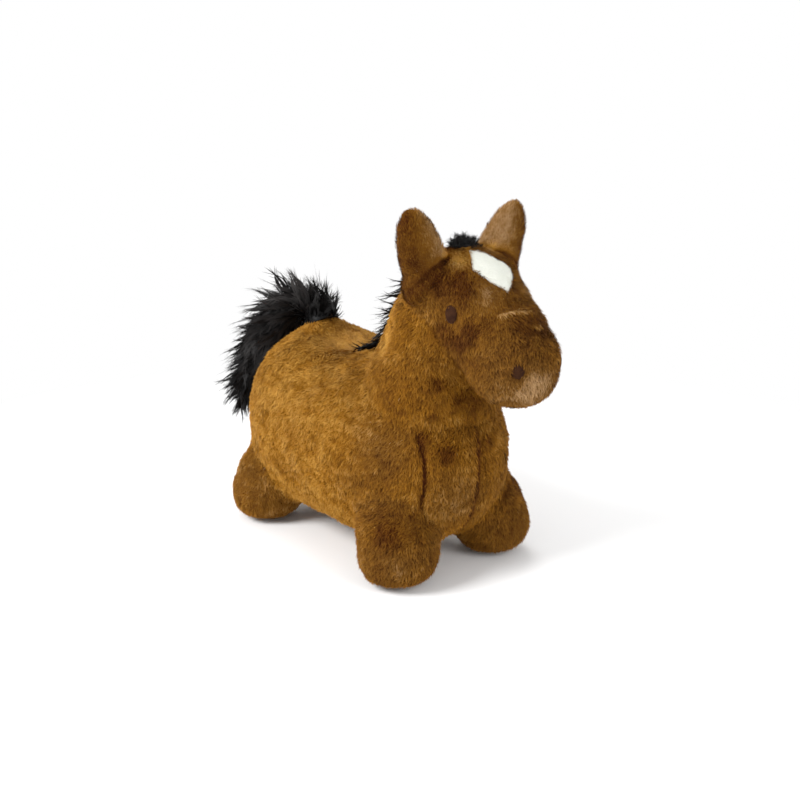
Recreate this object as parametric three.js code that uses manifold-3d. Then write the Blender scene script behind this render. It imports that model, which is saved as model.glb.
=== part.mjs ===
// Plush bouncy hopper: an inflatable horse inside a plush cover that zips off under the belly.
// Millimetres, +Z up. The nose points to -Y and the horse's own left is +X.
// It stands on its soles at z = 0, centred on its bounding box in plan.

import * as THREE from 'three';
import * as BufferGeometryUtils from 'three/addons/utils/BufferGeometryUtils.js';
import Module from 'manifold-3d';

const wasm = await Module();
wasm.setup();

// Walls and clearances
const coverWall = 4;
const bladderWall = 2;
const bladderSlack = 0.8;
const bellySlack = 7;
const seamGap = 0.3;
const runningGap = 0.3;

// Barrel, on a level axis; its lists of sizes run from the rump to the chest
const barrelRearY = 228;
const barrelFrontY = -224;
const barrelAxisZ = 162;
const barrelHalfWidths = [136, 139, 135, 135, 130];
const barrelRises = [134, 158, 134, 134, 126];
const barrelDrops = [145, 147, 143, 147, 145];

// Neck, from deep in the barrel up into the head
const neckFoot = [0, -108, 165];
const neckBend = [0, -150, 300];
const neckTop = [0, -184, 440];
const neckHalfWidths = [98, 102, 88, 72];
const neckFronts = [84, 84, 70, 60];
const neckBacks = [98, 96, 84, 68];

// Head, from the back of the skull down to the bridge of the nose
const headBack = [0, -112, 402];
const headMiddle = [0, -205, 384];
const headFront = [0, -308, 334];
const headHalfWidths = [54, 72, 64, 44];
const headTops = [52, 72, 54, 42];
const headJaws = [60, 78, 74, 50];

// Muzzle, a blunt round box over the front of the head
const muzzleBack = [0, -222, 330];
const muzzleFront = [0, -337, 308];
const muzzleHalfWidths = [58, 60, 50];
const muzzleTops = [58, 54];
const muzzleChins = [56, 56];

// Legs: splayed stumps whose round feet are cut flat where they stand
const footSpread = 92;
const footReach = 162;
const legLean = 28;
const legRake = 34;
const legTopZ = 120;
const ankleZ = 45;
const ankleShare = 0.12;
const legHalfWidth = 57;
const footHalfWidth = 56;
const standCut = 0.5;
const treadRing = 0.4;
const soleRadius = 30;

// Ears, which the rider holds
const earRoot = [46, -178, 396];
const earTip = [98, -187, 507];
const earHalfWidths = [34, 37, 33, 25];
const earHalfDepths = [26, 26, 20, 14];

// Mane down the neck, from behind the ears to a lock on the withers
const maneFacing = [0, 1, 0.6];
const manePath = [[0, -166, 446], [0, -104, 402], [0, -60, 345], [-8, -8, 300], [-26, 36, 288]];
const maneHalfWidths = [18, 20, 20, 15, 8];
const maneRises = [12, 12, 12, 12, 7];
const maneRoots = [20, 20, 20, 14, 7];

// Forelock, the tuft between the ears
const forelockFoot = [0, -182, 436];
const forelockTop = [0, -190, 474];
const forelockHalfWidth = 24;
const forelockHalfDepth = 22;

// Tail, sewn to the rump at its root and hanging down behind
const tailPath = [[0, 128, 298], [-2, 164, 330], [-22, 250, 286], [-38, 290, 208], [-44, 292, 146]];
const tailHalfWidths = [28, 44, 52, 50, 36];
const tailBacks = [26, 34, 36, 32, 22];
const tailFronts = [26, 40, 70, 64, 30];
const tailClearance = 1;

// Face: an inset patch, and embroidered eyes and nostrils
const patchOutline = [[-9, -207], [30, -241], [21, -254], [7, -265], [-5, -272], [-20, -254], [-29, -234]];
const eyeCentre = [62, -232, 379];
const eyeFacing = [1, -0.55, 0.15];
const eyeHalfWidth = 7;
const eyeHalfHeight = 10.5;
const nostrilCentre = [29, -319, 313];
const nostrilFacing = [0.55, -1, 0.1];
const nostrilHalfWidth = 8;
const nostrilHalfHeight = 10;
const stitchHeight = 1;

// Underbody panels, whose outer seams run up the chest
const underbodyHalfWidth = 76;
const underbodyRearZ = 190;
const underbodyFrontZ = 250;

// Zip in the underbody's centre seam, on a flat land inside the cover
const zipFrontY = -74;
const zipLength = 150;
const zipLandZ = 24.6;
const zipLandHalfWidth = 20;
const zipLandEnd = 8;
const zipSlotHalfWidth = 8;
const zipSlotEnd = 5;
const toothPitch = 5;
const toothThickness = 2.5;
const toothReach = 2;
const toothShoulder = 0.3;
const teethGap = 1.1;
const teethHeight = 2;
const beadWidth = 1.6;
const tapeWidth = 13.5;
const tapeThickness = 0.8;
const tapeEnd = 4;
const stopLength = 2;

// Zip slider and its pull tab
const sliderLength = 12;
const sliderHalfWidth = 5;
const sliderPlate = 1.2;
const sliderWeb = 0.5;
const lugThickness = 1.2;
const lugGapHalfWidth = 2.6;
const lugRadius = 1.7;
const pinDrop = 2;
const pinRadius = 0.8;
const pullLength = 17;
const pullHalfWidth = 3.5;
const pullNeckLength = 3.5;
const pullThickness = 1.6;

// Valve, in a well in the belly of the bladder
const valveY = 24;
const wellRadius = 24;
const wellDepth = 24;
const collarRadius = 12;
const collarHeight = 12;
const flangeRadius = 16;
const flangeThickness = 2;
const plugRadius = 5;
const plugLength = 13.5;
const plugTip = 1.5;
const plugHeadRadius = 9;
const plugHeadThickness = 3;

// Finishes
const plush = { color: 0xb07a3c, roughness: 0.95, metalness: 0 };
const blackHair = { color: 0x151517, roughness: 0.8, metalness: 0 };
const whitePlush = { color: 0xebf3ee, roughness: 0.95, metalness: 0 };
const thread = { color: 0x3a2119, roughness: 0.6, metalness: 0 };
const zipCloth = { color: 0x5a3b1c, roughness: 0.9, metalness: 0 };
const zipPlastic = { color: 0x4a3018, roughness: 0.45, metalness: 0 };
const zipMetal = { color: 0x8d8a84, roughness: 0.35, metalness: 1 };
const vinyl = { color: 0xc9a877, roughness: 0.5, metalness: 0 };
const valvePlastic = { color: 0xe9e7df, roughness: 0.4, metalness: 0 };

// Directions, a length beyond the whole horse, and the sides of what is turned
const up = [0, 0, 1];
const forward = [0, -1, 0];
const farOut = 600;
const turnedSides = 24;
const ovalSides = 14;
const barSides = 12;

function toSolid(geometry) {
  const bare = geometry.clone();
  bare.deleteAttribute('normal');
  bare.deleteAttribute('uv');
  const merged = BufferGeometryUtils.mergeVertices(bare, 1e-4);
  return new wasm.Manifold(new wasm.Mesh({
    numProp: 3,
    vertProperties: new Float32Array(merged.attributes.position.array),
    triVerts: new Uint32Array(merged.index.array),
  }));
}

function toGeometry(solid) {
  const mesh = solid.getMesh();
  const geometry = new THREE.BufferGeometry();
  geometry.setAttribute('position', new THREE.BufferAttribute(new Float32Array(mesh.vertProperties), 3));
  geometry.setIndex(new THREE.BufferAttribute(new Uint32Array(mesh.triVerts), 1));
  geometry.computeVertexNormals();
  return geometry;
}

function join(solids) {
  return solids.reduce((sum, solid) => sum.add(solid));
}

function block(low, high) {
  const size = high.map((value, axis) => value - low[axis]);
  const geometry = new THREE.BoxGeometry(...size);
  geometry.translate(...low.map((value, axis) => value + size[axis] / 2));
  return toSolid(geometry);
}

function post(radius, lowZ, highZ, x, y) {
  const geometry = new THREE.CylinderGeometry(radius, radius, highZ - lowZ, turnedSides);
  geometry.rotateX(Math.PI / 2);
  geometry.translate(x, y, (lowZ + highZ) / 2);
  return toSolid(geometry);
}

// A round bar across the horse
function crossBar(radius, halfLength, y, z) {
  const geometry = new THREE.CylinderGeometry(radius, radius, 2 * halfLength, barSides);
  geometry.rotateZ(Math.PI / 2);
  geometry.translate(0, y, z);
  return toSolid(geometry);
}

// A turned piece about the z axis, from [radius, z] corners
function turned(corners) {
  const points = corners.map((corner) => new THREE.Vector2(...corner));
  const geometry = new THREE.LatheGeometry(points, turnedSides);
  geometry.rotateX(Math.PI / 2);
  return toSolid(geometry);
}

// A flat outline of [x, y] corners, raised from one height to another
function raised(corners, lowZ, highZ) {
  const outline = new THREE.Shape(corners.map((corner) => new THREE.Vector2(...corner)));
  const geometry = new THREE.ExtrudeGeometry(outline, { depth: highZ - lowZ, bevelEnabled: false });
  geometry.translate(0, 0, lowZ);
  return toSolid(geometry);
}

// A value between evenly spaced ones, on a smooth curve through them
function along(values, share) {
  const points = values.map((value, step) => new THREE.Vector3(value, step, 0));
  return new THREE.CatmullRomCurve3(points).getPoint(share).x;
}

function signedPower(value, power) {
  return Math.sign(value) * Math.abs(value) ** power;
}

// A closed form of rings along a spine. Its sizes swell and taper along the spine, and its
// ends round off. The inset pulls the whole skin in, and a negative one grows it. An end ring
// is one more ring, that far short of the last end, which spreads the flat of a foot.
function swell(form, inset = 0) {
  const spine = new THREE.CatmullRomCurve3(form.spine.map((point) => new THREE.Vector3(...point)));
  const length = spine.getLength();
  const facing = new THREE.Vector3(...form.facing);
  const start = inset / length;

  const onSpine = (share) => {
    const held = THREE.MathUtils.clamp(share, 0, 1);
    const tangent = spine.getTangentAt(held);
    const centre = spine.getPointAt(held).addScaledVector(tangent, (share - held) * length);
    return { held, tangent, centre };
  };

  const steps = Array.from({ length: form.rings }, (_, ring) => (
    (1 - Math.cos((Math.PI * (ring + 1)) / (form.rings + 1))) / 2));
  if (form.endRing) steps.push(1 - form.endRing / length);
  const positions = [];
  for (const step of steps) {
    const { held, tangent, centre } = onSpine(start + step * (1 - 2 * start));
    const out = facing.clone().addScaledVector(tangent, -facing.dot(tangent)).normalize();
    const side = out.clone().cross(tangent);
    const bluntness = step < 0.5 ? form.blunt[0] : form.blunt[1];
    const round = (1 - Math.abs(2 * step - 1) ** bluntness) ** (1 / bluntness);
    const wide = (along(form.wide, held) - inset) * round;
    const rise = (along(form.rise, held) - inset) * round;
    const drop = (along(form.drop, held) - inset) * round;
    for (let point = 0; point < form.around; point += 1) {
      const angle = (2 * Math.PI * point) / form.around;
      const across = signedPower(Math.cos(angle), 2 / form.square) * wide;
      const height = signedPower(Math.sin(angle), 2 / form.square) * (angle < Math.PI ? rise : drop);
      const place = centre.clone().addScaledVector(side, across).addScaledVector(out, height);
      positions.push(...place.toArray());
    }
  }
  const firstPole = positions.length / 3;
  const lastPole = firstPole + 1;
  positions.push(...onSpine(start).centre.toArray(), ...onSpine(1 - start).centre.toArray());

  const faces = [];
  const lastRing = (steps.length - 1) * form.around;
  for (let point = 0; point < form.around; point += 1) {
    const next = (point + 1) % form.around;
    faces.push(firstPole, next, point);
    faces.push(lastPole, lastRing + point, lastRing + next);
    for (let low = 0; low < lastRing; low += form.around) {
      const high = low + form.around;
      faces.push(low + point, low + next, high + next);
      faces.push(low + point, high + next, high + point);
    }
  }
  return new wasm.Manifold(new wasm.Mesh({
    numProp: 3,
    vertProperties: new Float32Array(positions),
    triVerts: new Uint32Array(faces),
  }));
}

// The forms, each with fewer faces on its inner skins
const barrel = {
  spine: [[0, barrelRearY, barrelAxisZ], [0, barrelFrontY, barrelAxisZ]],
  facing: up, wide: barrelHalfWidths, rise: barrelRises, drop: barrelDrops,
  blunt: [2.7, 2.7], square: 2.2, rings: 13, around: 26, innerRings: 8, innerAround: 14,
};
const neck = {
  spine: [neckFoot, neckBend, neckTop],
  facing: forward, wide: neckHalfWidths, rise: neckFronts, drop: neckBacks,
  blunt: [3, 2.4], square: 2, rings: 8, around: 18, innerRings: 6, innerAround: 10,
};
const head = {
  spine: [headBack, headMiddle, headFront],
  facing: up, wide: headHalfWidths, rise: headTops, drop: headJaws,
  blunt: [2.2, 2.2], square: 2.1, rings: 10, around: 18, innerRings: 6, innerAround: 10,
};
const muzzle = {
  spine: [muzzleBack, muzzleFront],
  facing: up, wide: muzzleHalfWidths, rise: muzzleTops, drop: muzzleChins,
  blunt: [2.4, 2.4], square: 2.3, rings: 8, around: 18, innerRings: 5, innerAround: 10,
};
const legForm = (side, end) => ({
  spine: [
    [side * (footSpread - legLean), end * (footReach - legRake), legTopZ],
    [side * (footSpread - legLean * ankleShare), end * (footReach - legRake * ankleShare), ankleZ],
    [side * footSpread, end * footReach, -standCut],
  ],
  facing: [0, end, 0],
  wide: [legHalfWidth, legHalfWidth, footHalfWidth],
  rise: [legHalfWidth, legHalfWidth, footHalfWidth],
  drop: [legHalfWidth, legHalfWidth, footHalfWidth],
  blunt: [2.6, 3.4], square: 2, endRing: treadRing,
  rings: 7, around: 14, innerRings: 5, innerAround: 8,
});
const earForm = (side) => ({
  spine: [[side * earRoot[0], earRoot[1], earRoot[2]], [side * earTip[0], earTip[1], earTip[2]]],
  facing: forward, wide: earHalfWidths, rise: earHalfDepths, drop: earHalfDepths,
  blunt: [2.4, 3], square: 2, rings: 7, around: 12, innerRings: 5, innerAround: 8,
});
const hands = [{ side: 1, hand: 'left' }, { side: -1, hand: 'right' }];
const ends = [{ end: -1, place: 'front' }, { end: 1, place: 'rear' }];
const legs = ends.flatMap(({ end, place }) => hands.map(({ side, hand }) => ({
  name: `${place}_${hand}`, form: legForm(side, end), x: side * footSpread, y: end * footReach,
})));
const ears = hands.map(({ side, hand }) => ({ name: hand, form: earForm(side) }));
const limbs = [...legs, ...ears].map(({ form }) => form);

function innerSkin(form, inset) {
  return swell({ ...form, rings: form.innerRings, around: form.innerAround }, inset);
}

function grown(form) {
  return swell(form, -seamGap);
}

function below(z) {
  return block([-farOut, -farOut, -farOut], [farOut, farOut, z]);
}

const hopper = new THREE.Group();
const cover = new THREE.Group();
const zip = new THREE.Group();
const inflatable = new THREE.Group();
hopper.add(cover, zip, inflatable);

// A named piece. A cut between two curved skins can leave slivers, and only the body is kept.
function piece(group, name, solid, finish) {
  const body = solid.decompose().reduce((big, part) => (part.volume() > big.volume() ? part : big));
  const mesh = new THREE.Mesh(toGeometry(body), new THREE.MeshStandardMaterial(finish));
  mesh.name = name;
  group.add(mesh);
  return mesh;
}

// The space inside the cover, with a flat land for the zip
const zipRearY = zipFrontY + zipLength;
const landFront = zipFrontY - zipLandEnd;
const landRear = zipRearY + zipLandEnd;
const landBelow = block([-zipLandHalfWidth, landFront, 0], [zipLandHalfWidth, landRear, zipLandZ]);
const landAbove = block([-zipLandHalfWidth, landFront, zipLandZ],
  [zipLandHalfWidth, landRear, zipLandZ + bellySlack]);
const hollow = join([barrel, neck, head, muzzle, ...limbs].map((form) => innerSkin(form, coverWall)))
  .subtract(join([landBelow, below(coverWall)]))
  .add(landAbove);

// Barrel cover: side panels over underbody panels, with the zip's slot between the lower two
function underbodyPrism(gap) {
  const corners = [
    [farOut, -farOut],
    [farOut, underbodyRearZ + gap],
    [-farOut, underbodyFrontZ + gap],
    [-farOut, -farOut],
  ];
  const outline = new THREE.Shape(corners.map((corner) => new THREE.Vector2(...corner)));
  const width = 2 * (underbodyHalfWidth + gap);
  const geometry = new THREE.ExtrudeGeometry(outline, { depth: width, bevelEnabled: false });
  geometry.translate(0, 0, -width / 2);
  geometry.rotateX(Math.PI / 2);
  geometry.rotateZ(Math.PI / 2);
  return toSolid(geometry);
}
const barrelShell = swell(barrel).subtract(hollow);
const zipSlot = block([-zipSlotHalfWidth, zipFrontY - zipSlotEnd, 0],
  [zipSlotHalfWidth, zipRearY + zipSlotEnd, zipLandZ + coverWall]);
const sidePanels = barrelShell.subtract(underbodyPrism(seamGap));
const underbody = barrelShell.intersect(underbodyPrism(0)).subtract(zipSlot);
for (const { side, hand } of hands) {
  const inner = side * seamGap / 2;
  const outer = side * farOut;
  const half = block([Math.min(inner, outer), -farOut, -farOut], [Math.max(inner, outer), farOut, farOut]);
  piece(cover, `side_panel_${hand}`, sidePanels.intersect(half), plush);
  piece(cover, `underbody_panel_${hand}`, underbody.intersect(half), plush);
}

// Neck, head, muzzle and ears, each cut by the larger ones
const [cutBarrel, cutNeck, cutHead] = [barrel, neck, head].map(grown);
piece(cover, 'neck_cover', swell(neck).subtract(join([cutBarrel, hollow])), plush);
const headShell = swell(head).subtract(join([cutBarrel, cutNeck, hollow]));
const muzzleShell = swell(muzzle).subtract(join([cutBarrel, cutNeck, cutHead, hollow]));
piece(cover, 'muzzle_cover', muzzleShell, plush);
for (const { name, form } of ears) {
  piece(cover, `ear_cover_${name}`, swell(form).subtract(join([cutNeck, cutHead, hollow])), plush);
}

// The white patch is let into the forehead
function patchPrism(gap) {
  const sum = patchOutline.reduce(([x, y], corner) => [x + corner[0], y + corner[1]], [0, 0]);
  const middle = sum.map((value) => value / patchOutline.length);
  const corners = patchOutline.map(([x, y]) => {
    const reach = Math.hypot(x - middle[0], y - middle[1]);
    const growth = 1 + gap / reach;
    return [middle[0] + (x - middle[0]) * growth, middle[1] + (y - middle[1]) * growth];
  });
  return raised(corners, headMiddle[2], headMiddle[2] + headTops[1] * 2);
}
const patchGap = 2 * seamGap;
piece(cover, 'blaze_patch', headShell.intersect(patchPrism(0)), whitePlush);
piece(cover, 'head_cover', headShell.subtract(patchPrism(patchGap)), plush);

// Leg covers, each closed by a round sole
const soleTop = 2 * coverWall;
for (const { name, form, x, y } of legs) {
  const foot = swell(form).subtract(below(0));
  const opening = post(soleRadius + seamGap, -soleTop, soleTop, x, y);
  const disc = post(soleRadius, -soleTop, soleTop, x, y);
  piece(cover, `leg_cover_${name}`, foot.subtract(join([cutBarrel, hollow, opening])), plush);
  piece(cover, `sole_${name}`, foot.intersect(disc).subtract(hollow), plush);
}

// Hair
const skull = join([cutBarrel, cutNeck, cutHead, ...ears.map(({ form }) => grown(form))]);
const forelock = {
  spine: [forelockFoot, forelockTop], facing: forward,
  wide: [forelockHalfWidth, forelockHalfWidth],
  rise: [forelockHalfDepth, forelockHalfDepth],
  drop: [forelockHalfDepth, forelockHalfDepth],
  blunt: [2, 2], square: 2, rings: 6, around: 12,
};
piece(cover, 'forelock', swell(forelock).subtract(join([skull, patchPrism(patchGap)])), blackHair);
const mane = {
  spine: manePath, facing: maneFacing, wide: maneHalfWidths, rise: maneRises, drop: maneRoots,
  blunt: [2, 2], square: 2, rings: 12, around: 12,
};
piece(cover, 'mane', swell(mane).subtract(join([skull, grown(forelock)])), blackHair);
const tail = {
  spine: tailPath, facing: up, wide: tailHalfWidths, rise: tailBacks, drop: tailFronts,
  blunt: [2, 2], square: 2, rings: 12, around: 12,
};
piece(cover, 'tail', swell(tail).subtract(swell(barrel, -tailClearance)), blackHair);

// Embroidered ovals, raised on the skin that they are sewn to
function embroidery(host, centre, facing, halfWidth, halfHeight) {
  const depth = 2 * (halfWidth + halfHeight);
  const oval = new THREE.CylinderGeometry(1, 1, depth, ovalSides);
  oval.rotateX(Math.PI / 2);
  oval.scale(halfWidth, halfHeight, 1);
  const outward = new THREE.Vector3(...facing).normalize();
  const across = new THREE.Vector3(...up).cross(outward).normalize();
  const upright = outward.clone().cross(across);
  oval.applyMatrix4(new THREE.Matrix4().makeBasis(across, upright, outward));
  oval.translate(...centre);
  return swell(host, -seamGap - stitchHeight).subtract(grown(host)).intersect(toSolid(oval));
}
for (const { side, hand } of hands) {
  const mirrored = ([x, y, z]) => [side * x, y, z];
  piece(cover, `eye_${hand}`,
    embroidery(head, mirrored(eyeCentre), mirrored(eyeFacing), eyeHalfWidth, eyeHalfHeight), thread);
  piece(cover, `nostril_${hand}`,
    embroidery(muzzle, mirrored(nostrilCentre), mirrored(nostrilFacing), nostrilHalfWidth,
      nostrilHalfHeight), thread);
}

// Zip: tapes on the land and a row of teeth at each tape's edge
const tapeLow = zipLandZ + seamGap;
const tapeHigh = tapeLow + tapeThickness;
const teethLow = (tapeLow + tapeHigh - teethHeight) / 2;
const teethHigh = teethLow + teethHeight;
const toothTipX = teethGap / 2;
const beadX = toothTipX + toothReach;
const beadOuterX = beadX + beadWidth;
const tapeX = beadOuterX + seamGap;
const toothCount = Math.floor(zipLength / toothPitch);
for (const { side, hand } of hands) {
  const sideBlock = (lowX, highX, lowY, highY, lowZ, highZ) => block(
    [Math.min(side * lowX, side * highX), lowY, lowZ],
    [Math.max(side * lowX, side * highX), highY, highZ],
  );
  const tape = sideBlock(tapeX, tapeX + tapeWidth, zipFrontY - tapeEnd, zipRearY + tapeEnd,
    tapeLow, tapeHigh);
  piece(zip, `zip_tape_${hand}`, tape, zipCloth);
  const stagger = side > 0 ? 0 : toothPitch / 2;
  const comb = [[beadOuterX, zipFrontY], [beadX, zipFrontY]];
  for (let tooth = 0; tooth < toothCount; tooth += 1) {
    const toothLow = zipFrontY + toothPitch * tooth + stagger + toothShoulder;
    const toothHigh = Math.min(toothLow + toothThickness, zipRearY - toothShoulder);
    comb.push([beadX, toothLow], [toothTipX, toothLow], [toothTipX, toothHigh], [beadX, toothHigh]);
  }
  comb.push([beadX, zipRearY], [beadOuterX, zipRearY]);
  const row = raised(comb.map(([x, y]) => [side * x, y]), teethLow, teethHigh);
  piece(zip, `zip_teeth_${hand}`, row, zipPlastic);
  const stop = sideBlock(toothTipX, beadOuterX, zipFrontY - seamGap - stopLength, zipFrontY - seamGap,
    teethLow, teethHigh);
  piece(zip, `zip_top_stop_${hand}`, stop, zipMetal);
}
const bottomStop = block([-beadOuterX, zipRearY + seamGap, teethLow],
  [beadOuterX, zipRearY + seamGap + stopLength, teethHigh]);
piece(zip, 'zip_bottom_stop', bottomStop, zipMetal);

// Slider: a plate above and below the teeth on a thin web, and lugs for the pull's pin
const upperPlateZ = teethHigh + runningGap;
const lowerPlateZ = teethLow - runningGap;
const sliderLowZ = lowerPlateZ - sliderPlate;
const pinY = sliderLength / 2;
const pinZ = sliderLowZ - pinDrop;
const lugs = hands.map(({ side }) => {
  const inner = side * lugGapHalfWidth;
  const outer = side * (lugGapHalfWidth + lugThickness);
  return block([Math.min(inner, outer), pinY - lugRadius, pinZ - lugRadius],
    [Math.max(inner, outer), pinY + lugRadius, sliderLowZ + sliderPlate / 2]);
});
const sliderSolid = join([
  block([-sliderHalfWidth, 0, upperPlateZ], [sliderHalfWidth, sliderLength, upperPlateZ + sliderPlate]),
  block([-sliderHalfWidth, 0, sliderLowZ], [sliderHalfWidth, sliderLength, lowerPlateZ]),
  block([-sliderWeb / 2, 0, sliderLowZ], [sliderWeb / 2, sliderLength, upperPlateZ + sliderPlate]),
  ...lugs,
]).subtract(crossBar(pinRadius + runningGap, sliderHalfWidth, pinY, pinZ));
const slider = new THREE.Group();
slider.position.y = zipFrontY;
zip.add(slider);
piece(slider, 'zip_slider', sliderSolid, zipMetal);

// Pull tab: its pin turns in the lugs, and the tab hangs from it
const pullNeckHalfWidth = lugGapHalfWidth - runningGap;
const pullSolid = join([
  crossBar(pinRadius, lugGapHalfWidth + lugThickness, 0, 0),
  block([-pullNeckHalfWidth, -pullThickness / 2, -pullNeckLength],
    [pullNeckHalfWidth, pullThickness / 2, pinRadius]),
  block([-pullHalfWidth, -pullThickness / 2, -pullLength],
    [pullHalfWidth, pullThickness / 2, -pullNeckLength]),
]);
const pull = piece(slider, 'zip_pull', pullSolid, zipMetal);
pull.position.set(0, pinY, pinZ);

// Bladder: one moulding with the legs, head and ears, hollow, with the valve well in its belly
const bellyInset = coverWall + bladderSlack;
const bladderBarrel = { ...barrel, drop: barrelDrops.map((drop) => drop - bellySlack) };
const bladderForms = [bladderBarrel, neck, head, muzzle, ...limbs];
const bladderSkin = (inset) => join(bladderForms.map((form) => innerSkin(form, inset)))
  .subtract(below(inset));
const wellRoofZ = barrelAxisZ - barrelDrops[2] + bellyInset + bellySlack + wellDepth;
const bladderOuter = bladderSkin(bellyInset).subtract(post(wellRadius, 0, wellRoofZ, 0, valveY));
const bladderInner = bladderSkin(bellyInset + bladderWall)
  .subtract(post(wellRadius + bladderWall, 0, wellRoofZ + bladderWall, 0, valveY));
const valveHole = post(collarRadius + seamGap, wellRoofZ - bladderWall, wellRoofZ + 2 * bladderWall,
  0, valveY);
piece(inflatable, 'bladder', bladderOuter.subtract(bladderInner).subtract(valveHole), vinyl);

// Valve seat and plug, turned about the valve's axis from the roof of the well
const valve = new THREE.Group();
valve.position.set(0, valveY, wellRoofZ);
inflatable.add(valve);
const boreRadius = plugRadius + runningGap;
const seatLow = -seamGap - flangeThickness;
piece(valve, 'valve_seat', turned([
  [boreRadius, seatLow], [flangeRadius, seatLow], [flangeRadius, -seamGap], [collarRadius, -seamGap],
  [collarRadius, collarHeight], [boreRadius, collarHeight], [boreRadius, seatLow],
]), valvePlastic);
const headHigh = seatLow - runningGap;
const plugTop = headHigh + plugLength;
piece(valve, 'valve_plug', turned([
  [0, headHigh - plugHeadThickness], [plugHeadRadius, headHigh - plugHeadThickness],
  [plugHeadRadius, headHigh], [plugRadius, headHigh], [plugRadius, plugTop - plugTip],
  [plugRadius - plugTip / 2, plugTop], [0, plugTop],
]), valvePlastic);

// Centre the horse over the origin
hopper.updateMatrixWorld(true);
const reach = new THREE.Box3().setFromObject(hopper);
hopper.position.set(-(reach.min.x + reach.max.x) / 2, -(reach.min.y + reach.max.y) / 2, 0);

export default hopper;
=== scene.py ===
"""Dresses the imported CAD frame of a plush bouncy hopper, an inflatable horse in a zip-off cover."""

import math

import bmesh
import bpy
import numpy as np
from mathutils import Matrix, Vector, noise
from mathutils.bvhtree import BVHTree


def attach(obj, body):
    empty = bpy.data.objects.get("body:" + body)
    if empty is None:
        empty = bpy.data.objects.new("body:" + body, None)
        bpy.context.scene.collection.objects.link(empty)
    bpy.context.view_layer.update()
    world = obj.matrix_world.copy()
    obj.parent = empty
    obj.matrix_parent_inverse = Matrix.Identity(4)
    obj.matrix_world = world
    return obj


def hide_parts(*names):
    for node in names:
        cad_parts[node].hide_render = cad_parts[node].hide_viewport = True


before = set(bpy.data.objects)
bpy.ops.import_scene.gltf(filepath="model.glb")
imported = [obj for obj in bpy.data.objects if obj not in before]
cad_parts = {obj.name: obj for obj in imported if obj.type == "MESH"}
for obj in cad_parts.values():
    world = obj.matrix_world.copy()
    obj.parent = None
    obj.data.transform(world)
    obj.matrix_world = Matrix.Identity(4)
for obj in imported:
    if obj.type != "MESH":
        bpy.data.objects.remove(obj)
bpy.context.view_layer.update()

bl_info = {
    "name": "Plush Bouncy Hopper",
    "version": (1, 0, 0),
    "blender": (4, 5, 0),
    "location": "View3D > Sidebar > Hopper",
    "description": "Sews the cover, hair and face onto the packed hopper and sets up its studio",
    "category": "Object",
}

MM = 0.001
# The CAD source moves the whole horse this far along Y to centre it, in mm
CENTRING = 8.0901
UP, FORWARD = (0, 0, 1), (0, -1, 0)
# A fixed seed for noise vectors, which would otherwise change with the clock
NOISE_SEED = 4


# Shapes along a spine

def on_curve(points, share):
    """A point on the smooth curve that the CAD source draws through points."""
    spans = len(points) - 1
    first = min(int(share * spans), spans - 1)
    part = share * spans - first
    a, b = points[first], points[first + 1]
    before = points[first - 1] if first else 2 * a - b
    after = points[first + 2] if first + 2 <= spans else 2 * b - a
    ends = (before, a), (a, b), (b, after)
    gaps = [(end - start).length_squared ** 0.25 for start, end in ends]
    gaps = [gap if gap > 1e-4 else gaps[1] for gap in gaps]
    leave = (a - before) / gaps[0] - (b - before) / (gaps[0] + gaps[1]) + (b - a) / gaps[1]
    arrive = (b - a) / gaps[1] - (after - a) / (gaps[1] + gaps[2]) + (after - b) / gaps[2]
    leave, arrive = leave * gaps[1], arrive * gaps[1]
    return (a + leave * part + (3 * (b - a) - 2 * leave - arrive) * part**2
            + (2 * (a - b) + leave + arrive) * part**3)


def along(values, share):
    return on_curve([Vector((value, step, 0)) for step, value in enumerate(values)], share).x


def signed_power(value, power):
    return math.copysign(abs(value) ** power, value)


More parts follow.
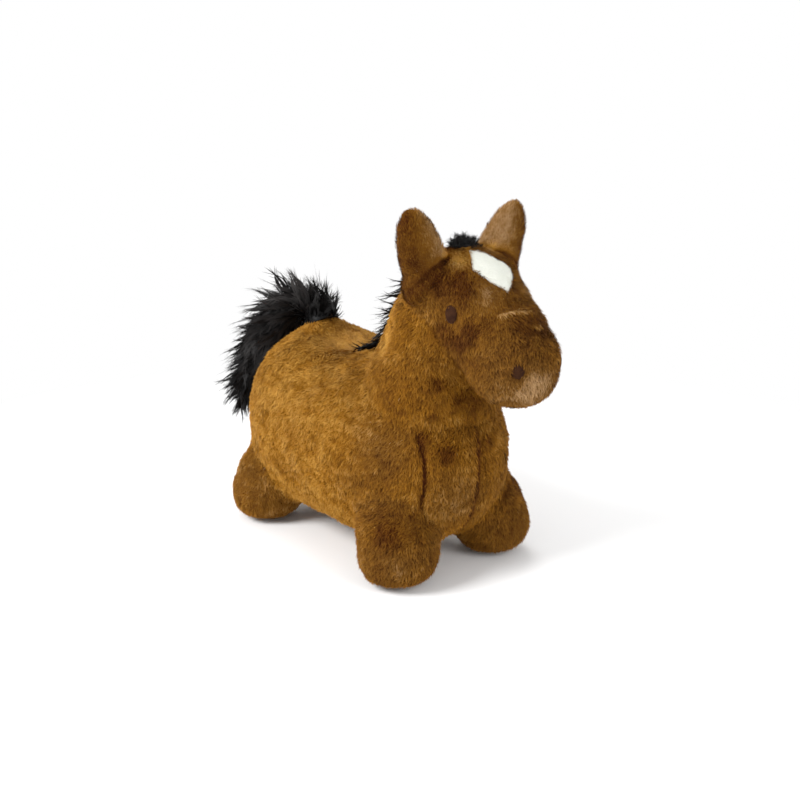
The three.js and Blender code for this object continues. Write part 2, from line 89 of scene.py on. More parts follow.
class Form:
    """A closed form of rings along a spine, with the sizes of the CAD source, in mm."""

    def __init__(self, spine, facing, wide, rise, drop, blunt=(2, 2), square=2):
        self.spine = [Vector(point) for point in spine]
        self.facing = Vector(facing)
        self.wide, self.rise, self.drop = wide, rise, drop
        self.blunt, self.square = blunt, square
        self.shares = np.linspace(0, 1, 201)
        marks = [on_curve(self.spine, share) for share in self.shares]
        steps = [(end - start).length for start, end in zip(marks, marks[1:])]
        self.reached = np.concatenate([[0], np.cumsum(steps)])
        self.length = self.reached[-1]

    def on_spine(self, share):
        """The centre and direction at a share of the spine's length, also beyond its ends."""
        held = min(max(share, 0), 1)
        at = float(np.interp(held * self.length, self.reached, self.shares))
        low, high = max(at - 1e-4, 0), min(at + 1e-4, 1)
        tangent = (on_curve(self.spine, high) - on_curve(self.spine, low)).normalized()
        return held, tangent, on_curve(self.spine, at) + tangent * (share - held) * self.length

    def place(self, step, angle, inset=0):
        """A point of the skin in the frame, in metres. Its step runs from 0 to 1 along the form."""
        start = inset / self.length
        held, tangent, centre = self.on_spine(start + step * (1 - 2 * start))
        out = (self.facing - tangent * self.facing.dot(tangent)).normalized()
        side = out.cross(tangent)
        blunt = self.blunt[0] if step < 0.5 else self.blunt[1]
        swelling = max(1 - abs(2 * step - 1) ** blunt, 0) ** (1 / blunt)
        height = self.rise if angle % math.tau < math.pi else self.drop
        across = signed_power(math.cos(angle), 2 / self.square) * (along(self.wide, held) - inset)
        upwards = signed_power(math.sin(angle), 2 / self.square) * (along(height, held) - inset)
        place = centre + (side * across + out * upwards) * swelling
        return Vector((place.x, place.y + CENTRING, place.z)) * MM

    def body(self, inset=0, rings=36, around=48):
        """The closed form as a bmesh, blown up from a ball."""
        bm = bmesh.new()
        bmesh.ops.create_uvsphere(bm, u_segments=around, v_segments=rings, radius=1)
        for vert in bm.verts:
            height = min(max(vert.co.z, -1), 1)
            vert.co = self.place((1 + height) / 2, math.atan2(vert.co.y, vert.co.x), inset)
        bmesh.ops.recalc_face_normals(bm, faces=bm.faces)
        return bm


def leg(side, end):
    spread, reach = side * 92, end * 162
    lean, rake = side * 28, end * 34
    spine = [(spread - lean, reach - rake, 120), (spread - 0.12 * lean, reach - 0.12 * rake, 45),
             (spread, reach, -0.5)]
    return Form(spine, (0, end, 0), [57, 57, 56], [57, 57, 56], [57, 57, 56], (2.6, 3.4))


def ear(side):
    return Form([(side * 46, -178, 396), (side * 98, -187, 507)], FORWARD,
                [34, 37, 33, 25], [26, 26, 20, 14], [26, 26, 20, 14], (2.4, 3))


SIDES = {"left": 1, "right": -1}
ENDS = {"front": -1, "rear": 1}
FORMS = {
    "barrel": Form([(0, 228, 162), (0, -224, 162)], UP, [136, 139, 135, 135, 130],
                   [134, 158, 134, 134, 126], [145, 147, 143, 147, 145], (2.7, 2.7), 2.2),
    "neck": Form([(0, -108, 165), (0, -150, 300), (0, -184, 440)], FORWARD, [98, 102, 88, 72],
                 [84, 84, 70, 60], [98, 96, 84, 68], (3, 2.4)),
    "head": Form([(0, -112, 402), (0, -205, 384), (0, -308, 334)], UP, [54, 72, 64, 44],
                 [52, 72, 54, 42], [60, 78, 74, 50], (2.2, 2.2), 2.1),
    "muzzle": Form([(0, -222, 330), (0, -337, 308)], UP, [58, 60, 50], [58, 54], [56, 56],
                   (2.4, 2.4), 2.3),
    **{f"ear_{hand}": ear(side) for hand, side in SIDES.items()},
    **{f"leg_{place}_{hand}": leg(side, end)
       for place, end in ENDS.items() for hand, side in SIDES.items()},
}
# Padding that rounds the skin off where the forms meet at the face, the ears and the legs
PADS = [Form([(0, -196, 374), (0, -320, 322)], UP, [64, 65, 59, 52], [58, 59, 53, 42],
             [64, 64, 58, 48], (2.2, 2.2), 2.1)]
PADS += [Form([(side * 38, -180, 378), (side * 74, -184, 456)], FORWARD, [40, 46, 34], [28, 30, 24],
              [28, 30, 24]) for side in SIDES.values()]
PADS += [Form([(side * 50, end * 112, 152), (side * 84, end * 152, 60)], (0, end, 0), [56, 57, 50],
              [56, 57, 50], [56, 57, 50]) for side in SIDES.values() for end in ENDS.values()]
TAIL = Form([(0, 126, 300), (-2, 162, 328), (-20, 236, 290), (-42, 282, 206), (-53, 292, 144)], UP,
            [38, 46, 50, 48, 37], [36, 38, 24, 20, 23], [36, 44, 68, 62, 30])
MANE = Form([(0, -166, 446), (0, -104, 402), (0, -60, 345), (-3, -18, 300), (-28, 18, 285)],
            (0, 1, 0.6), [18, 20, 20, 17, 10], [12, 12, 12, 12, 8], [20, 20, 20, 15, 9])
FORELOCK = Form([(0, -182, 436), (0, -190, 471)], FORWARD, [24, 25], [22, 22], [22, 22])
PATCH = [(-10, -205), (31, -239), (22, -252), (8, -264), (-5, -271), (-21, -254), (-31, -234)]
# The middle of the tail's hinge line, the radius of the ball about it that closes the tail's root,
# and how far from it the hair is darker, which is painted shade at the root, in mm. Below ROOT_TOP
# that hair is short as well
DOCK, DOCK_RADIUS, ROOT_REACH, ROOT_TOP = (0, 126.5, 304.5), 26, 31, 316
# The skin sinks at the seat, which is a stretch along the horse, and at the neck's two feet, and it
# rises under the tail: centre, reach and depth in mm
SEAT = 45, 115, 14
NECK_FOOT = (80, -105, 335), 62, 12
TAIL_RISE = (0, 125, 309), 50, 8
PANEL_HALF_WIDTH = 76
# The zip's slot in the cover, from corner to corner in mm
SLOT = (-8, -79, 0), (8, 81, 0)
# The zip slot's hem turns up to here, under the zip's tapes
HEM_TOP = 24.5
# The well for the valve in the bladder's belly: its place along the horse, radius and roof, in mm
WELL_Y, WELL_RADIUS, WELL_ROOF = 24, 24, 54.8


def source_point(x, y, z):
    return Vector((x, y + CENTRING, z)) * MM


# The photo's camera: what it looks at, how far off it stands, and its two angles in degrees
LOOK_AT, CAMERA_AWAY, AZIMUTH, ELEVATION = (0, -0.05041, 0.2201), 1.5, -40.36, 16
# Name, place, size and share of the key lamp's power
LAMPS = (("key", (-2.0, 0.5, 1.7), 1.3, 1), ("fill", (0.3, -2.4, 1.3), 1.8, 0.4),
         ("back", (1.2, 1.4, 2.0), 1.6, 0.35))


# Sizes and colours that a user would change

def colour(name, rgb, description):
    """A colour property, from the 0 to 255 levels of the screen."""
    linear = [(level / 255) ** 2.2 for level in rgb]
    return bpy.props.FloatVectorProperty(name=name, description=description, subtype="COLOR",
                                         size=3, min=0, max=1, default=linear)


def size(name, default, description):
    return bpy.props.FloatProperty(name=name, default=default, description=description,
                                   unit="LENGTH")


class HopperPlush(bpy.types.PropertyGroup):
    """The short brown pile of the cover."""
    inset: size("Backing inset", 0.003, "How far the pile's backing lies inside the CAD skin")
    voxel: size("Backing grain", 0.0036, "Size of the backing's faces")
    pile: size("Pile length", 0.0088, "Length of the pile on the barrel")
    density: bpy.props.FloatProperty(
        name="Tufts per square metre", description="How closely the pile stands", default=480000)
    gold_dark: colour("Gold roots", (70, 34, 3), "Pile of the barrel at its roots")
    gold_mid: colour("Gold middle", (138, 91, 24), "Pile of the barrel halfway up")
    gold_light: colour("Gold tips", (198, 148, 70), "Pile of the barrel at its tips")
    tan_dark: colour("Tan roots", (58, 30, 6), "Pile of the face and feet at its roots")
    tan_mid: colour("Tan middle", (120, 82, 35), "Pile of the face and feet halfway up")
    tan_light: colour("Tan tips", (180, 144, 102), "Pile of the face and feet at its tips")


class HopperHair(bpy.types.PropertyGroup):
    """The black mane, forelock and tail."""
    black: colour("Black", (6, 6, 7), "Hair in the shade")
    sheen: colour("Black sheen", (54, 51, 50), "Hair where it catches the light")
    tail_length: size("Tail wisps", 0.036, "Length of the tail's wisps")
    mane_length: size("Mane wisps", 0.03, "Length of the mane's wisps")


class HopperFace(bpy.types.PropertyGroup):
    """The white patch and the embroidery."""
    white: colour("White", (245, 246, 239), "Pile of the patch")
    thread: colour("Thread", (44, 22, 10), "Thread of the eyes and nostrils")
    thread_light: colour("Thread sheen", (66, 41, 22), "Thread where the stitches catch the light")


class HopperInside(bpy.types.PropertyGroup):
    """The zip, the bladder and its valve."""
    inset: size("Bladder inset", 0.0115, "How far the bladder lies inside the CAD skin")
    cloth: colour("Zip tape", (90, 59, 28), "Woven tape of the zip")
    teeth: colour("Zip teeth", (74, 48, 24), "Moulded teeth")
    metal: colour("Zip metal", (150, 147, 140), "Slider, pull and stops")
    vinyl: colour("Vinyl", (201, 168, 119), "Skin of the bladder")
    valve: colour("Valve", (233, 231, 223), "Seat and stopper")


class HopperStage(bpy.types.PropertyGroup):
    """Camera, lamps and floor."""
    lens: bpy.props.FloatProperty(name="Lens", description="Focal length", default=46.82,
                                  unit="CAMERA")
    key: bpy.props.FloatProperty(name="Key lamp", description="Power of the key lamp", default=72)
    world: bpy.props.FloatProperty(name="Room light", description="Light from all round",
                                   default=0.62)


GROUPS = {"plush": HopperPlush, "hair": HopperHair, "face": HopperFace, "inside": HopperInside,
          "stage": HopperStage}


class HopperSettings(bpy.types.PropertyGroup):
    """Everything that the panel shows."""
    plush: bpy.props.PointerProperty(type=HopperPlush)
    hair: bpy.props.PointerProperty(type=HopperHair)
    face: bpy.props.PointerProperty(type=HopperFace)
    inside: bpy.props.PointerProperty(type=HopperInside)
    stage: bpy.props.PointerProperty(type=HopperStage)


# Node trees written as expressions

class Wire:
    """An output socket that Python's own signs can work on."""

    def __init__(self, tree, socket):
        self.tree, self.socket = tree, socket

    def maths(self, operation, *values):
        return self.tree.add("ShaderNodeMath", {"operation": operation}, dict(enumerate(values)))

    def other(self, name):
        """Another output of the same node."""
        return Wire(self.tree, self.socket.node.outputs[name])

    def __add__(self, other):
        return self.maths("ADD", self, other)

    def __sub__(self, other):
        return self.maths("SUBTRACT", self, other)

    def __rsub__(self, other):
        return self.maths("SUBTRACT", other, self)

    def __mul__(self, other):
        return self.maths("MULTIPLY", self, other)

    def __truediv__(self, other):
        return self.maths("DIVIDE", self, other)

    def __pow__(self, other):
        return self.maths("POWER", self, other)


class Tree:
    """A node tree. Any node comes from add, which sets its settings before its sockets."""

    def __init__(self, tree):
        self.tree = tree

    def add(self, kind, settings=None, values=None, out=0):
        node = self.tree.nodes.new(kind)
        for name, value in (settings or {}).items():
            if name == "stops":
                self.set_stops(node.color_ramp.elements, value)
            else:
                setattr(node, name, value)
        for name, value in (values or {}).items():
            self.fill(self.pick(node.inputs, name), value)
        return Wire(self, self.pick(node.outputs, out)) if len(node.outputs) else node

    def pick(self, sockets, name):
        shown = [socket for socket in sockets if socket.enabled]
        if isinstance(name, int):
            return shown[name]
        return next(socket for socket in shown if socket.name == name)

    def fill(self, socket, value):
        if isinstance(value, Wire):
            self.tree.links.new(value.socket, socket)
        else:
            socket.default_value = value

    def set_stops(self, elements, stops):
        while len(elements) < len(stops):
            elements.new(1)
        for element, (position, rgb) in zip(elements, stops):
            element.position, element.color = position, (*rgb, 1)

    def mix(self, share, first, second):
        """Two colours mixed."""
        return self.add("ShaderNodeMix", {"data_type": "RGBA"},
                        {"Factor": share, "A": first, "B": second})

    def vector(self, operation, *values):
        return self.add("ShaderNodeVectorMath", {"operation": operation}, dict(enumerate(values)))

    def spread(self, value, low, high, to_low=0.0, to_high=1.0):
        """A value's range moved to another, and held there."""
        return self.add("ShaderNodeMapRange", {}, {
            "Value": value, "From Min": low, "From Max": high, "To Min": to_low, "To Max": to_high})

    def place(self):
        """A place in the object's own axes."""
        return self.add("ShaderNodeTexCoord").other("Object")

    def grain(self, place, scale, detail=2.0):
        return self.add("ShaderNodeTexNoise", {}, {
            "Vector": place, "Scale": scale, "Detail": detail})

    def bump(self, height, strength, distance):
        self.fill(self.shader.inputs["Normal"], self.add("ShaderNodeBump", {}, {
            "Strength": strength, "Distance": distance, "Height": height}))

    def attribute(self, name, kind="FLOAT"):
        """A named attribute in a geometry tree."""
        return self.add("GeometryNodeInputNamedAttribute", {"data_type": kind}, {"Name": name})

    def random(self, low, high, seed):
        return self.add("FunctionNodeRandomValue", {"data_type": "FLOAT"},
                        {"Min": low, "Max": high, "Seed": seed})


def rgba(rgb):
    return (*rgb, 1)


def material(name, **shader):
    """A material and its tree. The words set the shader's own sockets."""
    made = bpy.data.materials.new(name)
    made.use_nodes = True
    made.node_tree.nodes.clear()
    tree = Tree(made.node_tree)
    surface = tree.add("ShaderNodeBsdfPrincipled", {}, shader)
    tree.add("ShaderNodeOutputMaterial", {}, {"Surface": surface})
    tree.shader = surface.socket.node
    return made, tree


def tones(rgb, *shares):
    """Darker and paler tones of a colour."""
    return [rgba(min(level * share, 1) for level in rgb) for share in shares]


def feed(tree, name, value):
    tree.fill(tree.shader.inputs[name], value)


# Objects

def make_object(name, mesh):
    made = bpy.data.objects.new(name, mesh)
    bpy.context.scene.collection.objects.link(made)
    return made


def to_mesh(bm, name):
    mesh = bpy.data.meshes.new(name)
    bm.to_mesh(mesh)
    bm.free()
    return mesh


def baked(made):
    """Turns an object's modifiers into its mesh."""
    bpy.context.view_layer.update()
    graph = bpy.context.evaluated_depsgraph_get()
    mesh = bpy.data.meshes.new_from_object(made.evaluated_get(graph))
    made.modifiers.clear()
    made.data = mesh
    return made


def add_modifier(made, kind, **settings):
    modifier = made.modifiers.new(kind.title(), kind)
    for name, value in settings.items():
        setattr(modifier, name, value)
    return modifier


def numbers(items, name, width=3):
    values = np.zeros(len(items) * width)
    items.foreach_get(name, values)
    return values.reshape(-1, width)


def smooth_step(value):
    held = np.clip(value, 0, 1)
    return held * held * (3 - 2 * held)


def noise_at(points, scale, seed):
    """Smooth noise from about -1 to 1 at each point. Scale is the size of its lumps in mm."""
    shift = Vector((seed * 7.31, seed * 3.17, seed * 5.77))
    return np.array([noise.fractal(Vector(point) * (1000 / scale) + shift, 1, 2, 2)
                     for point in points])


# The cover's backing: one skin over all the forms, cut up into panels

# How far the backing rounds off where two forms meet, in mm
REACHES = {("barrel", "neck"): 55, ("head", "neck"): 40, ("head", "muzzle"): 34,
           ("barrel", "leg"): 34, ("muzzle", "neck"): 26, ("barrel", "head"): 30,
           ("barrel", "muzzle"): 30, ("ear", "head"): 18, ("ear", "neck"): 20}


def nearest_forms(points, inset):
    """The nearest form to each point, and how far each is from the seam with the next."""
    names = list(FORMS)
    away = np.zeros((len(names), len(points)))
    for row, name in enumerate(names):
        bm = FORMS[name].body(inset * 1000)
        tree = BVHTree.FromBMesh(bm)
        bm.free()
        away[row] = [tree.find_nearest(point)[3] for point in points]
    order = np.argsort(away, axis=0)
    first, second = order[0], order[1]
    gap = away[second, np.arange(len(points))]
    kinds = [name.split("_")[0] for name in names]
    reach = np.array([REACHES.get(tuple(sorted((kinds[a], kinds[b]))), 10)
                      for a, b in zip(first, second)])
    return np.array(names)[first], np.array(names)[second], gap * 1000, reach


def draw_skin(plush):
    """One closed skin over all the forms, smoothed where they meet, with the nearest form to each
    of its places, the next one, and how far the place is from the seam between them."""
    whole = bmesh.new()
    for form in (*FORMS.values(), *PADS):
        part = to_mesh(form.body(plush.inset * 1000), "part")
        whole.from_mesh(part)
        bpy.data.meshes.remove(part)
    skin = make_object("cover_skin", to_mesh(whole, "cover_skin"))
    add_modifier(skin, "REMESH", mode="VOXEL", voxel_size=plush.voxel)
    baked(skin)
    points = [vert.co.copy() for vert in skin.data.vertices]
    form, other, gap, reach = nearest_forms(points, plush.inset)
    soft = smooth_step(1.15 - gap / reach)
    group = skin.vertex_groups.new(name="soft")
    for index, weight in enumerate(soft):
        group.add([index], float(weight), "REPLACE")
    add_modifier(skin, "SMOOTH", factor=0.5, iterations=5)
    baked(skin)
    for _ in range(5):
        fill_hollows(skin, 40)
    add_modifier(skin, "SMOOTH", factor=0.5, iterations=4)
    return baked(skin), form, other, gap


def fill_hollows(skin, iterations):
    """Smooths the skin where forms meet, and keeps only what that raises."""
    before = numbers(skin.data.vertices, "co")
    outwards = numbers(skin.data.vertex_normals, "vector")
    add_modifier(skin, "SMOOTH", factor=0.5, iterations=iterations, vertex_group="soft")
    baked(skin)
    rise = np.sum((numbers(skin.data.vertices, "co") - before) * outwards, axis=1)
    raised = before + outwards * np.maximum(rise, 0)[:, None]
    skin.data.vertices.foreach_set("co", raised.ravel())
    skin.data.update()


def add_attribute(mesh, name, kind, values):
    made = mesh.attributes.new(name, kind, "POINT")
    key = "vector" if kind == "FLOAT_VECTOR" else "value"
    made.data.foreach_set(key, np.asarray(values, np.float32).ravel())


def unit(vectors):
    return vectors / np.maximum(np.linalg.norm(vectors, axis=1, keepdims=True), 1e-9)


def swirl(points, scale, seed):
    """A smoothly changing direction at each point."""
    noise.seed_set(NOISE_SEED)
    shift = Vector((seed * 2.3, seed * 4.1, seed * 1.7))
    return np.array([noise.noise_vector(Vector(point) * (1000 / scale) + shift)
                     for point in points])


# Places where the pile is painted darker or paler: centre and radius in mm, then shade and hue. Some
# are painted shade, under the ears, under the jaw and on the tops of the feet, and some are painted
# light, on the neck's rim, the back over the seat and the front of the muzzle; the rest change the
# pile's own tone.
SPOTS = [
    (-52, -240, 411, 28, -0.36, -0.3), (52, -240, 411, 28, -0.32, -0.3),
    (-46, -228, 424, 16, -0.3, -0.3), (46, -228, 424, 16, -0.26, -0.3),
    (-66, -214, 412, 22, -0.34, -0.2), (66, -214, 412, 22, -0.3, -0.2),
    (-34, -208, 449, 27, 0.6, -1.2), (-36, -224, 441, 16, 0.3, -0.5),
    (30, -205, 450, 20, 0.5, -0.9),
    (-36, -262, 406, 30, 0.24, 0.4), (36, -262, 406, 30, 0.2, 0.3),
    (-56, -220, 422, 16, -0.2, -0.2), (56, -220, 422, 16, -0.2, -0.2),
    (-54, -258, 364, 20, -0.36, -0.2), (54, -258, 364, 20, -0.32, -0.2),
    (-62, -232, 348, 26, -0.2, -0.3), (62, -232, 348, 26, -0.2, -0.3),
    (-14, -304, 366, 28, -0.34, -0.2), (14, -304, 366, 28, -0.34, -0.2),
    (-52, -292, 336, 26, 0.1, 0.15), (52, -292, 336, 26, 0.1, 0.15),
    (-48, -300, 304, 26, 0.12, 0.2), (48, -300, 304, 26, 0.12, 0.2),
    (-38, -322, 318, 17, -0.26, 0.0), (38, -322, 318, 17, -0.26, 0.0),
    (-66, -199, 243, 13, -0.36, -0.3), (-76, -197, 212, 17, -0.4, -0.4),
    (-48, -214, 190, 24, -0.36, -0.4), (20, -222, 200, 16, -0.36, -0.4),
    (-8, -224, 236, 18, -0.26, -0.3),
    (-30, -220, 262, 30, -0.26, -0.2), (-1, -223, 258, 26, -0.24, -0.2),
    (-126, -183, 86, 32, -0.36, -0.3), (118, -176, 92, 30, -0.3, -0.2),
    (-122, -196, 40, 26, 0.16, 0.4), (-100, -226, 46, 26, 0.14, 0.3),
    (-16, -335, 297, 44, 0.46, 0.8), (-30, -322, 288, 24, 0.15, 0.4),
    (-50, -306, 290, 24, 0.1, 0.4),
    (-55, -248, 348, 20, -0.18, -0.2), (55, -248, 348, 20, -0.18, -0.2),
    (-112, 150, 50, 80, -0.1, 0.3), (-60, -215, 352, 26, -0.14, -0.1),
    (-68, -199, 209, 40, -0.08, 0.1), (-100, -176, 169, 40, -0.08, 0.1),
    (24, 62, 302, 64, 0.3, 0.1), (-30, 46, 300, 60, 0.36, -0.1),
    (-96, -150, 190, 60, -0.04, 0.35), (-40, -222, 120, 60, 0.06, 0.45),
    (-110, -110, 150, 70, -0.1, 0.1), (-80, -150, 270, 60, -0.12, 0.0),
    (-104, 60, 250, 90, 0.1, -0.1), (104, 60, 250, 90, 0.1, -0.1),
    (-88, -112, 330, 40, 0.3, -0.3), (88, -112, 330, 40, 0.2, -0.3),
]
# Lines in the pile, in mm: points, half width, depth, shade, hue, and whether both sides have it. A
# groove is darkened, which is painted shade in it. The raised line along each ear's lower edge is
# paler, which is painted light, and the raised lines across the bridge of the nose are paler.
CREASES = [
    ([(-92, -186, 406), (-82, -201, 421), (-72, -206, 431), (-56, -206, 440), (-38, -201, 447)],
     5.5, 3.4, -0.7, -0.3, True),
    ([(-97, -188, 416), (-88, -205, 430), (-76, -209, 440), (-60, -208, 448)],
     6, -1.6, 0.1, 0.0, True),
    ([(-66, -205, 290), (-48, -226, 272), (-24, -238, 262), (0, -242, 258), (24, -238, 262),
      (48, -226, 272), (66, -205, 290)], 14, 1.5, -0.3, -0.2, False),
    ([(-42, -233, 320), (-50, -247, 336), (-51, -260, 349), (-48, -272, 360), (-35, -288, 372)],
     5.5, 1.6, -0.26, -0.1, True),
    ([(-33, -284, 383), (-22, -289, 385), (-9, -293, 385), (5, -295, 383), (23, -292, 379)],
     3.5, -0.8, 0.8, 0.5, False),
    ([(-24, -296, 370), (-12, -302, 369), (5, -310, 368), (14, -308, 367)],
     3.4, -0.6, 0.8, 0.4, False),
    ([(-14, 74, 310), (-8, 54, 306), (-6, 36, 301)], 6, 1.2, -0.18, -0.1, False),
    ([(-70, 28, 284), (-56, 27, 290), (-38, 31, 296)], 6, 1.2, -0.26, -0.2, False),
    ([(-108, 56, 257), (-96, 47, 268), (-83, 16, 274), (-72, 7, 280)], 6, 3.0, -0.32, -0.3, False),
    ([(-118, 34, 232), (-108, 12, 246), (-98, -14, 256)], 6, 2.4, -0.22, -0.1, False),
    ([(-130, 84, 196), (-127, 92, 170), (-124, 88, 148)], 6, 1.8, -0.18, -0.1, False),
    ([(-128, 10, 214), (-124, -16, 222), (-116, -40, 232)], 6, 1.8, -0.16, -0.1, False),
    ([(112, 40, 246), (100, 18, 262), (84, -10, 276)], 6, 1.8, -0.16, -0.2, False),
    ([(-130, 66, 118), (-129, 40, 108), (-124, 14, 100)], 9, 1.5, -0.2, -0.2, True),
    ([(-130, -126, 100), (-112, -168, 108), (-84, -196, 104), (-62, -202, 86)],
     9, 1.2, -0.16, -0.2, True),
]
# The muzzle panel's seam lies in this plane of the CAD source: its normal, and its distance in mm
SEAM_NORMAL, SEAM_AT = (0, 0.73, 0.685), 51
# Centres and facings of the embroidered ovals, on the horse's left, with their half sizes in mm
EYE = (63, -231, 380), (1, -0.45, 0.1), (8.5, 12)
NOSTRIL = (37, -322, 320), (0.7, -0.75, 0.05), (8, 9.5)
# How much of each oval the pile leaves bare, and how short it is beside them
BARE = (0.8, 0.6), (0.7, 0.7)


def away_from(places, line):
    """How far each place is from a line of points, in mm."""
    away = np.full(len(places), np.inf)
    marks = [np.array(source_point(*point)) for point in line]
    for start, end in zip(marks, marks[1:]):
        reach = end - start
        share = np.clip((places - start) @ reach / (reach @ reach), 0, 1)
        away = np.minimum(away, np.linalg.norm(places - start - share[:, None] * reach, axis=1))
    return away * 1000


def creased(places):
    """How deep, how dark and how red the creases make each place."""
    totals = np.zeros((3, len(places)))
    for line, half_width, depth, shade, hue, paired in CREASES:
        lines = [line, [(-x, y, z) for x, y, z in line]] if paired else [line]
        for one in lines:
            inside = smooth_step(1 - away_from(places, one) / half_width)
            totals += np.outer((depth, shade, hue), inside)
    return totals


def sunk(places, outwards):
    """How far the skin sinks at each place, in mm, and where the seat and the tail's root are."""
    source = places * 1000 - np.array((0, CENTRING, 0))
    middle, reach, seat_depth = SEAT
    seat = smooth_step((outwards[:, 2] - 0.6) / 0.3)
    seat *= smooth_step(1 - np.abs(source[:, 1] - middle) / reach)
    seat *= smooth_step((source[:, 0] + 80) / 60)
    (x, y, z), reach, foot_depth = NECK_FOOT
    foot = np.zeros(len(places))
    for side in SIDES.values():
        away = np.linalg.norm(source - np.array((side * x, y, z)), axis=1)
        foot = np.maximum(foot, smooth_step(1 - away / reach))
    centre, reach, rise = TAIL_RISE
    dock = smooth_step(1 - np.linalg.norm(source - np.array(centre), axis=1) / reach)
    return seat_depth * seat * (1 - dock) + foot_depth * foot - rise * dock, seat, dock


def dress_skin(mesh, form, other, gap):
    """Gives the backing its lumps and seams, and the pile's direction, length and shade."""
    places = numbers(mesh.vertices, "co")
    outwards = numbers(mesh.vertex_normals, "vector")
    kinds = np.array([name.split("_")[0] for name in form])
    others = np.array([name.split("_")[0] for name in other])
    sideways = np.sign(places[:, 0])

    broad = noise_at(places, 55, 1)
    fine = noise_at(places, 13, 2)
    depth, darker, redder = creased(places)
    lumps = 1.3 * broad + 1.1 * fine + 0.3 * noise_at(places, 8, 9) - depth
    source = places * 1000 - np.array((0, CENTRING, 0))
    ring = np.abs(source @ np.array(SEAM_NORMAL) - SEAM_AT)
    front = (source[:, 1] < -215) & (source[:, 2] > 296)
    seam = np.where(front & (source[:, 2] < 372), 0.4 * smooth_step(1 - ring / 5.5), 0)
    beside_ear = (kinds == "ear") | (others == "ear")
    seam = np.maximum(seam, np.where(beside_ear, 0.8 * smooth_step(1 - gap / 5), 0))
    lumps -= 1.6 * seam
    line = np.minimum(np.abs(source[:, 0]), np.abs(np.abs(source[:, 0]) - PANEL_HALF_WIDTH))
    low = (kinds == "barrel") * smooth_step((seam_height(places[:, 1]) - places[:, 2]) / 0.03)
    uneven = 0.9 + 0.2 * np.clip(noise_at(places, 30, 8), -1, 1)
    chest = low * smooth_step(1.1 - line / 5) * uneven
    lumps -= 1.2 * chest
    sink, seat, _ = sunk(places, outwards)
    lumps -= sink
    standing = smooth_step((places[:, 2] * 1000 - 6) / 14)
    moved = places + outwards * (lumps * standing * MM)[:, None]
    mesh.vertices.foreach_set("co", moved.ravel())

    lie = np.tile([0.0, 0.3, -1.0], (len(places), 1))
    lie[(kinds == "head") | (kinds == "muzzle")] = (0, -0.15, -1)
    ears = kinds == "ear"
    lie[ears] = np.stack([0.45 * sideways, -0.08 + 0 * sideways, 0.9 + 0 * sideways], 1)[ears]
    edges = numbers(mesh.edges, "vertices", 2).astype(int)
    for _ in range(12):
        total, count = lie.copy(), np.ones(len(lie))
        for a, b in ((0, 1), (1, 0)):
            np.add.at(total, edges[:, a], lie[edges[:, b]])
            np.add.at(count, edges[:, a], 1)
        lie = total / count[:, None]
    swirls = 0.6 * swirl(places, 44, 3) + 0.5 * swirl(places, 16, 4)
    lie = unit(lie) + (1 - chest)[:, None] * swirls
    lie -= outwards * np.sum(lie * outwards, axis=1)[:, None]
    add_attribute(mesh, "lie", "FLOAT_VECTOR", unit(lie))

    face = np.isin(kinds, ("head", "muzzle"))
    forward = smooth_step(-(source[:, 1] + 40) / 150)
    # The pile is paler where the fine lumps rise and darker where they sink, which is painted light
    # and shade on them; the other noise is the pile's tone at random.
    shade = 0.58 + 0.1 * noise_at(places, 34, 5) + 0.09 * fine + 0.05 * noise_at(places, 8, 6)
    # The front of the horse is darker, and its face and legs more so: painted shade, as if the light
    # fell from behind.
    shade = shade - 0.13 * forward - np.where(face | (kinds == "leg"), 0.08, 0) + darker
    hue = np.where(np.isin(kinds, ("barrel", "neck")), 0.1, 0.4) + 0.2 * forward
    hue = hue + 0.2 * noise_at(places, 60, 7) + redder
    centre = low * smooth_step(1.1 - np.abs(source[:, 0] + 1.5) / 5.5) * (source[:, 1] < -150)
    # The seams' grooves are darkened, which is painted shade in them.
    shade = shade - 0.3 * seam - 0.16 * chest - 0.3 * centre
    # The ears' inner faces are paler, partly a paler tan and partly painted light; their outer faces
    # are painted a little darker, which is painted shade.
    inner_tone_and_light = np.clip(0.6 - 1.4 * sideways * outwards[:, 0], 0, 1)
    shade = shade + np.where(ears, 0.5 * inner_tone_and_light - 0.18, 0)
    hue = hue + np.where(ears, 0.52 * inner_tone_and_light - 0.2, 0)
    for x, y, z, radius, darker, redder in SPOTS:
        away = np.linalg.norm(places - np.array(source_point(x, y, z)), axis=1) * 1000
        inside = smooth_step(1 - away / radius)
        shade, hue = shade + darker * inside, hue + redder * inside
    pile = np.where(face, 0.85, 1.0) * np.where(ears, 0.6, 1.0) * np.where(kinds == "leg", 0.9, 1.0)
    pile = pile * (0.35 + 0.65 * standing) * (1 - 0.45 * seam) * (1 - 0.6 * chest)
    pile = pile * (1 + 0.15 * fine)
    pile = pile * (1 - 0.1 * np.clip(depth, 0, 4)) * (1 - 0.45 * seat)
    a, b = edges.T
    for _ in range(6):
        for values in (pile, hue):
            values[a] = values[b] = (values[a] + values[b]) / 2
    thick = (1 - 0.5 * seam) * (1 - 0.7 * chest)
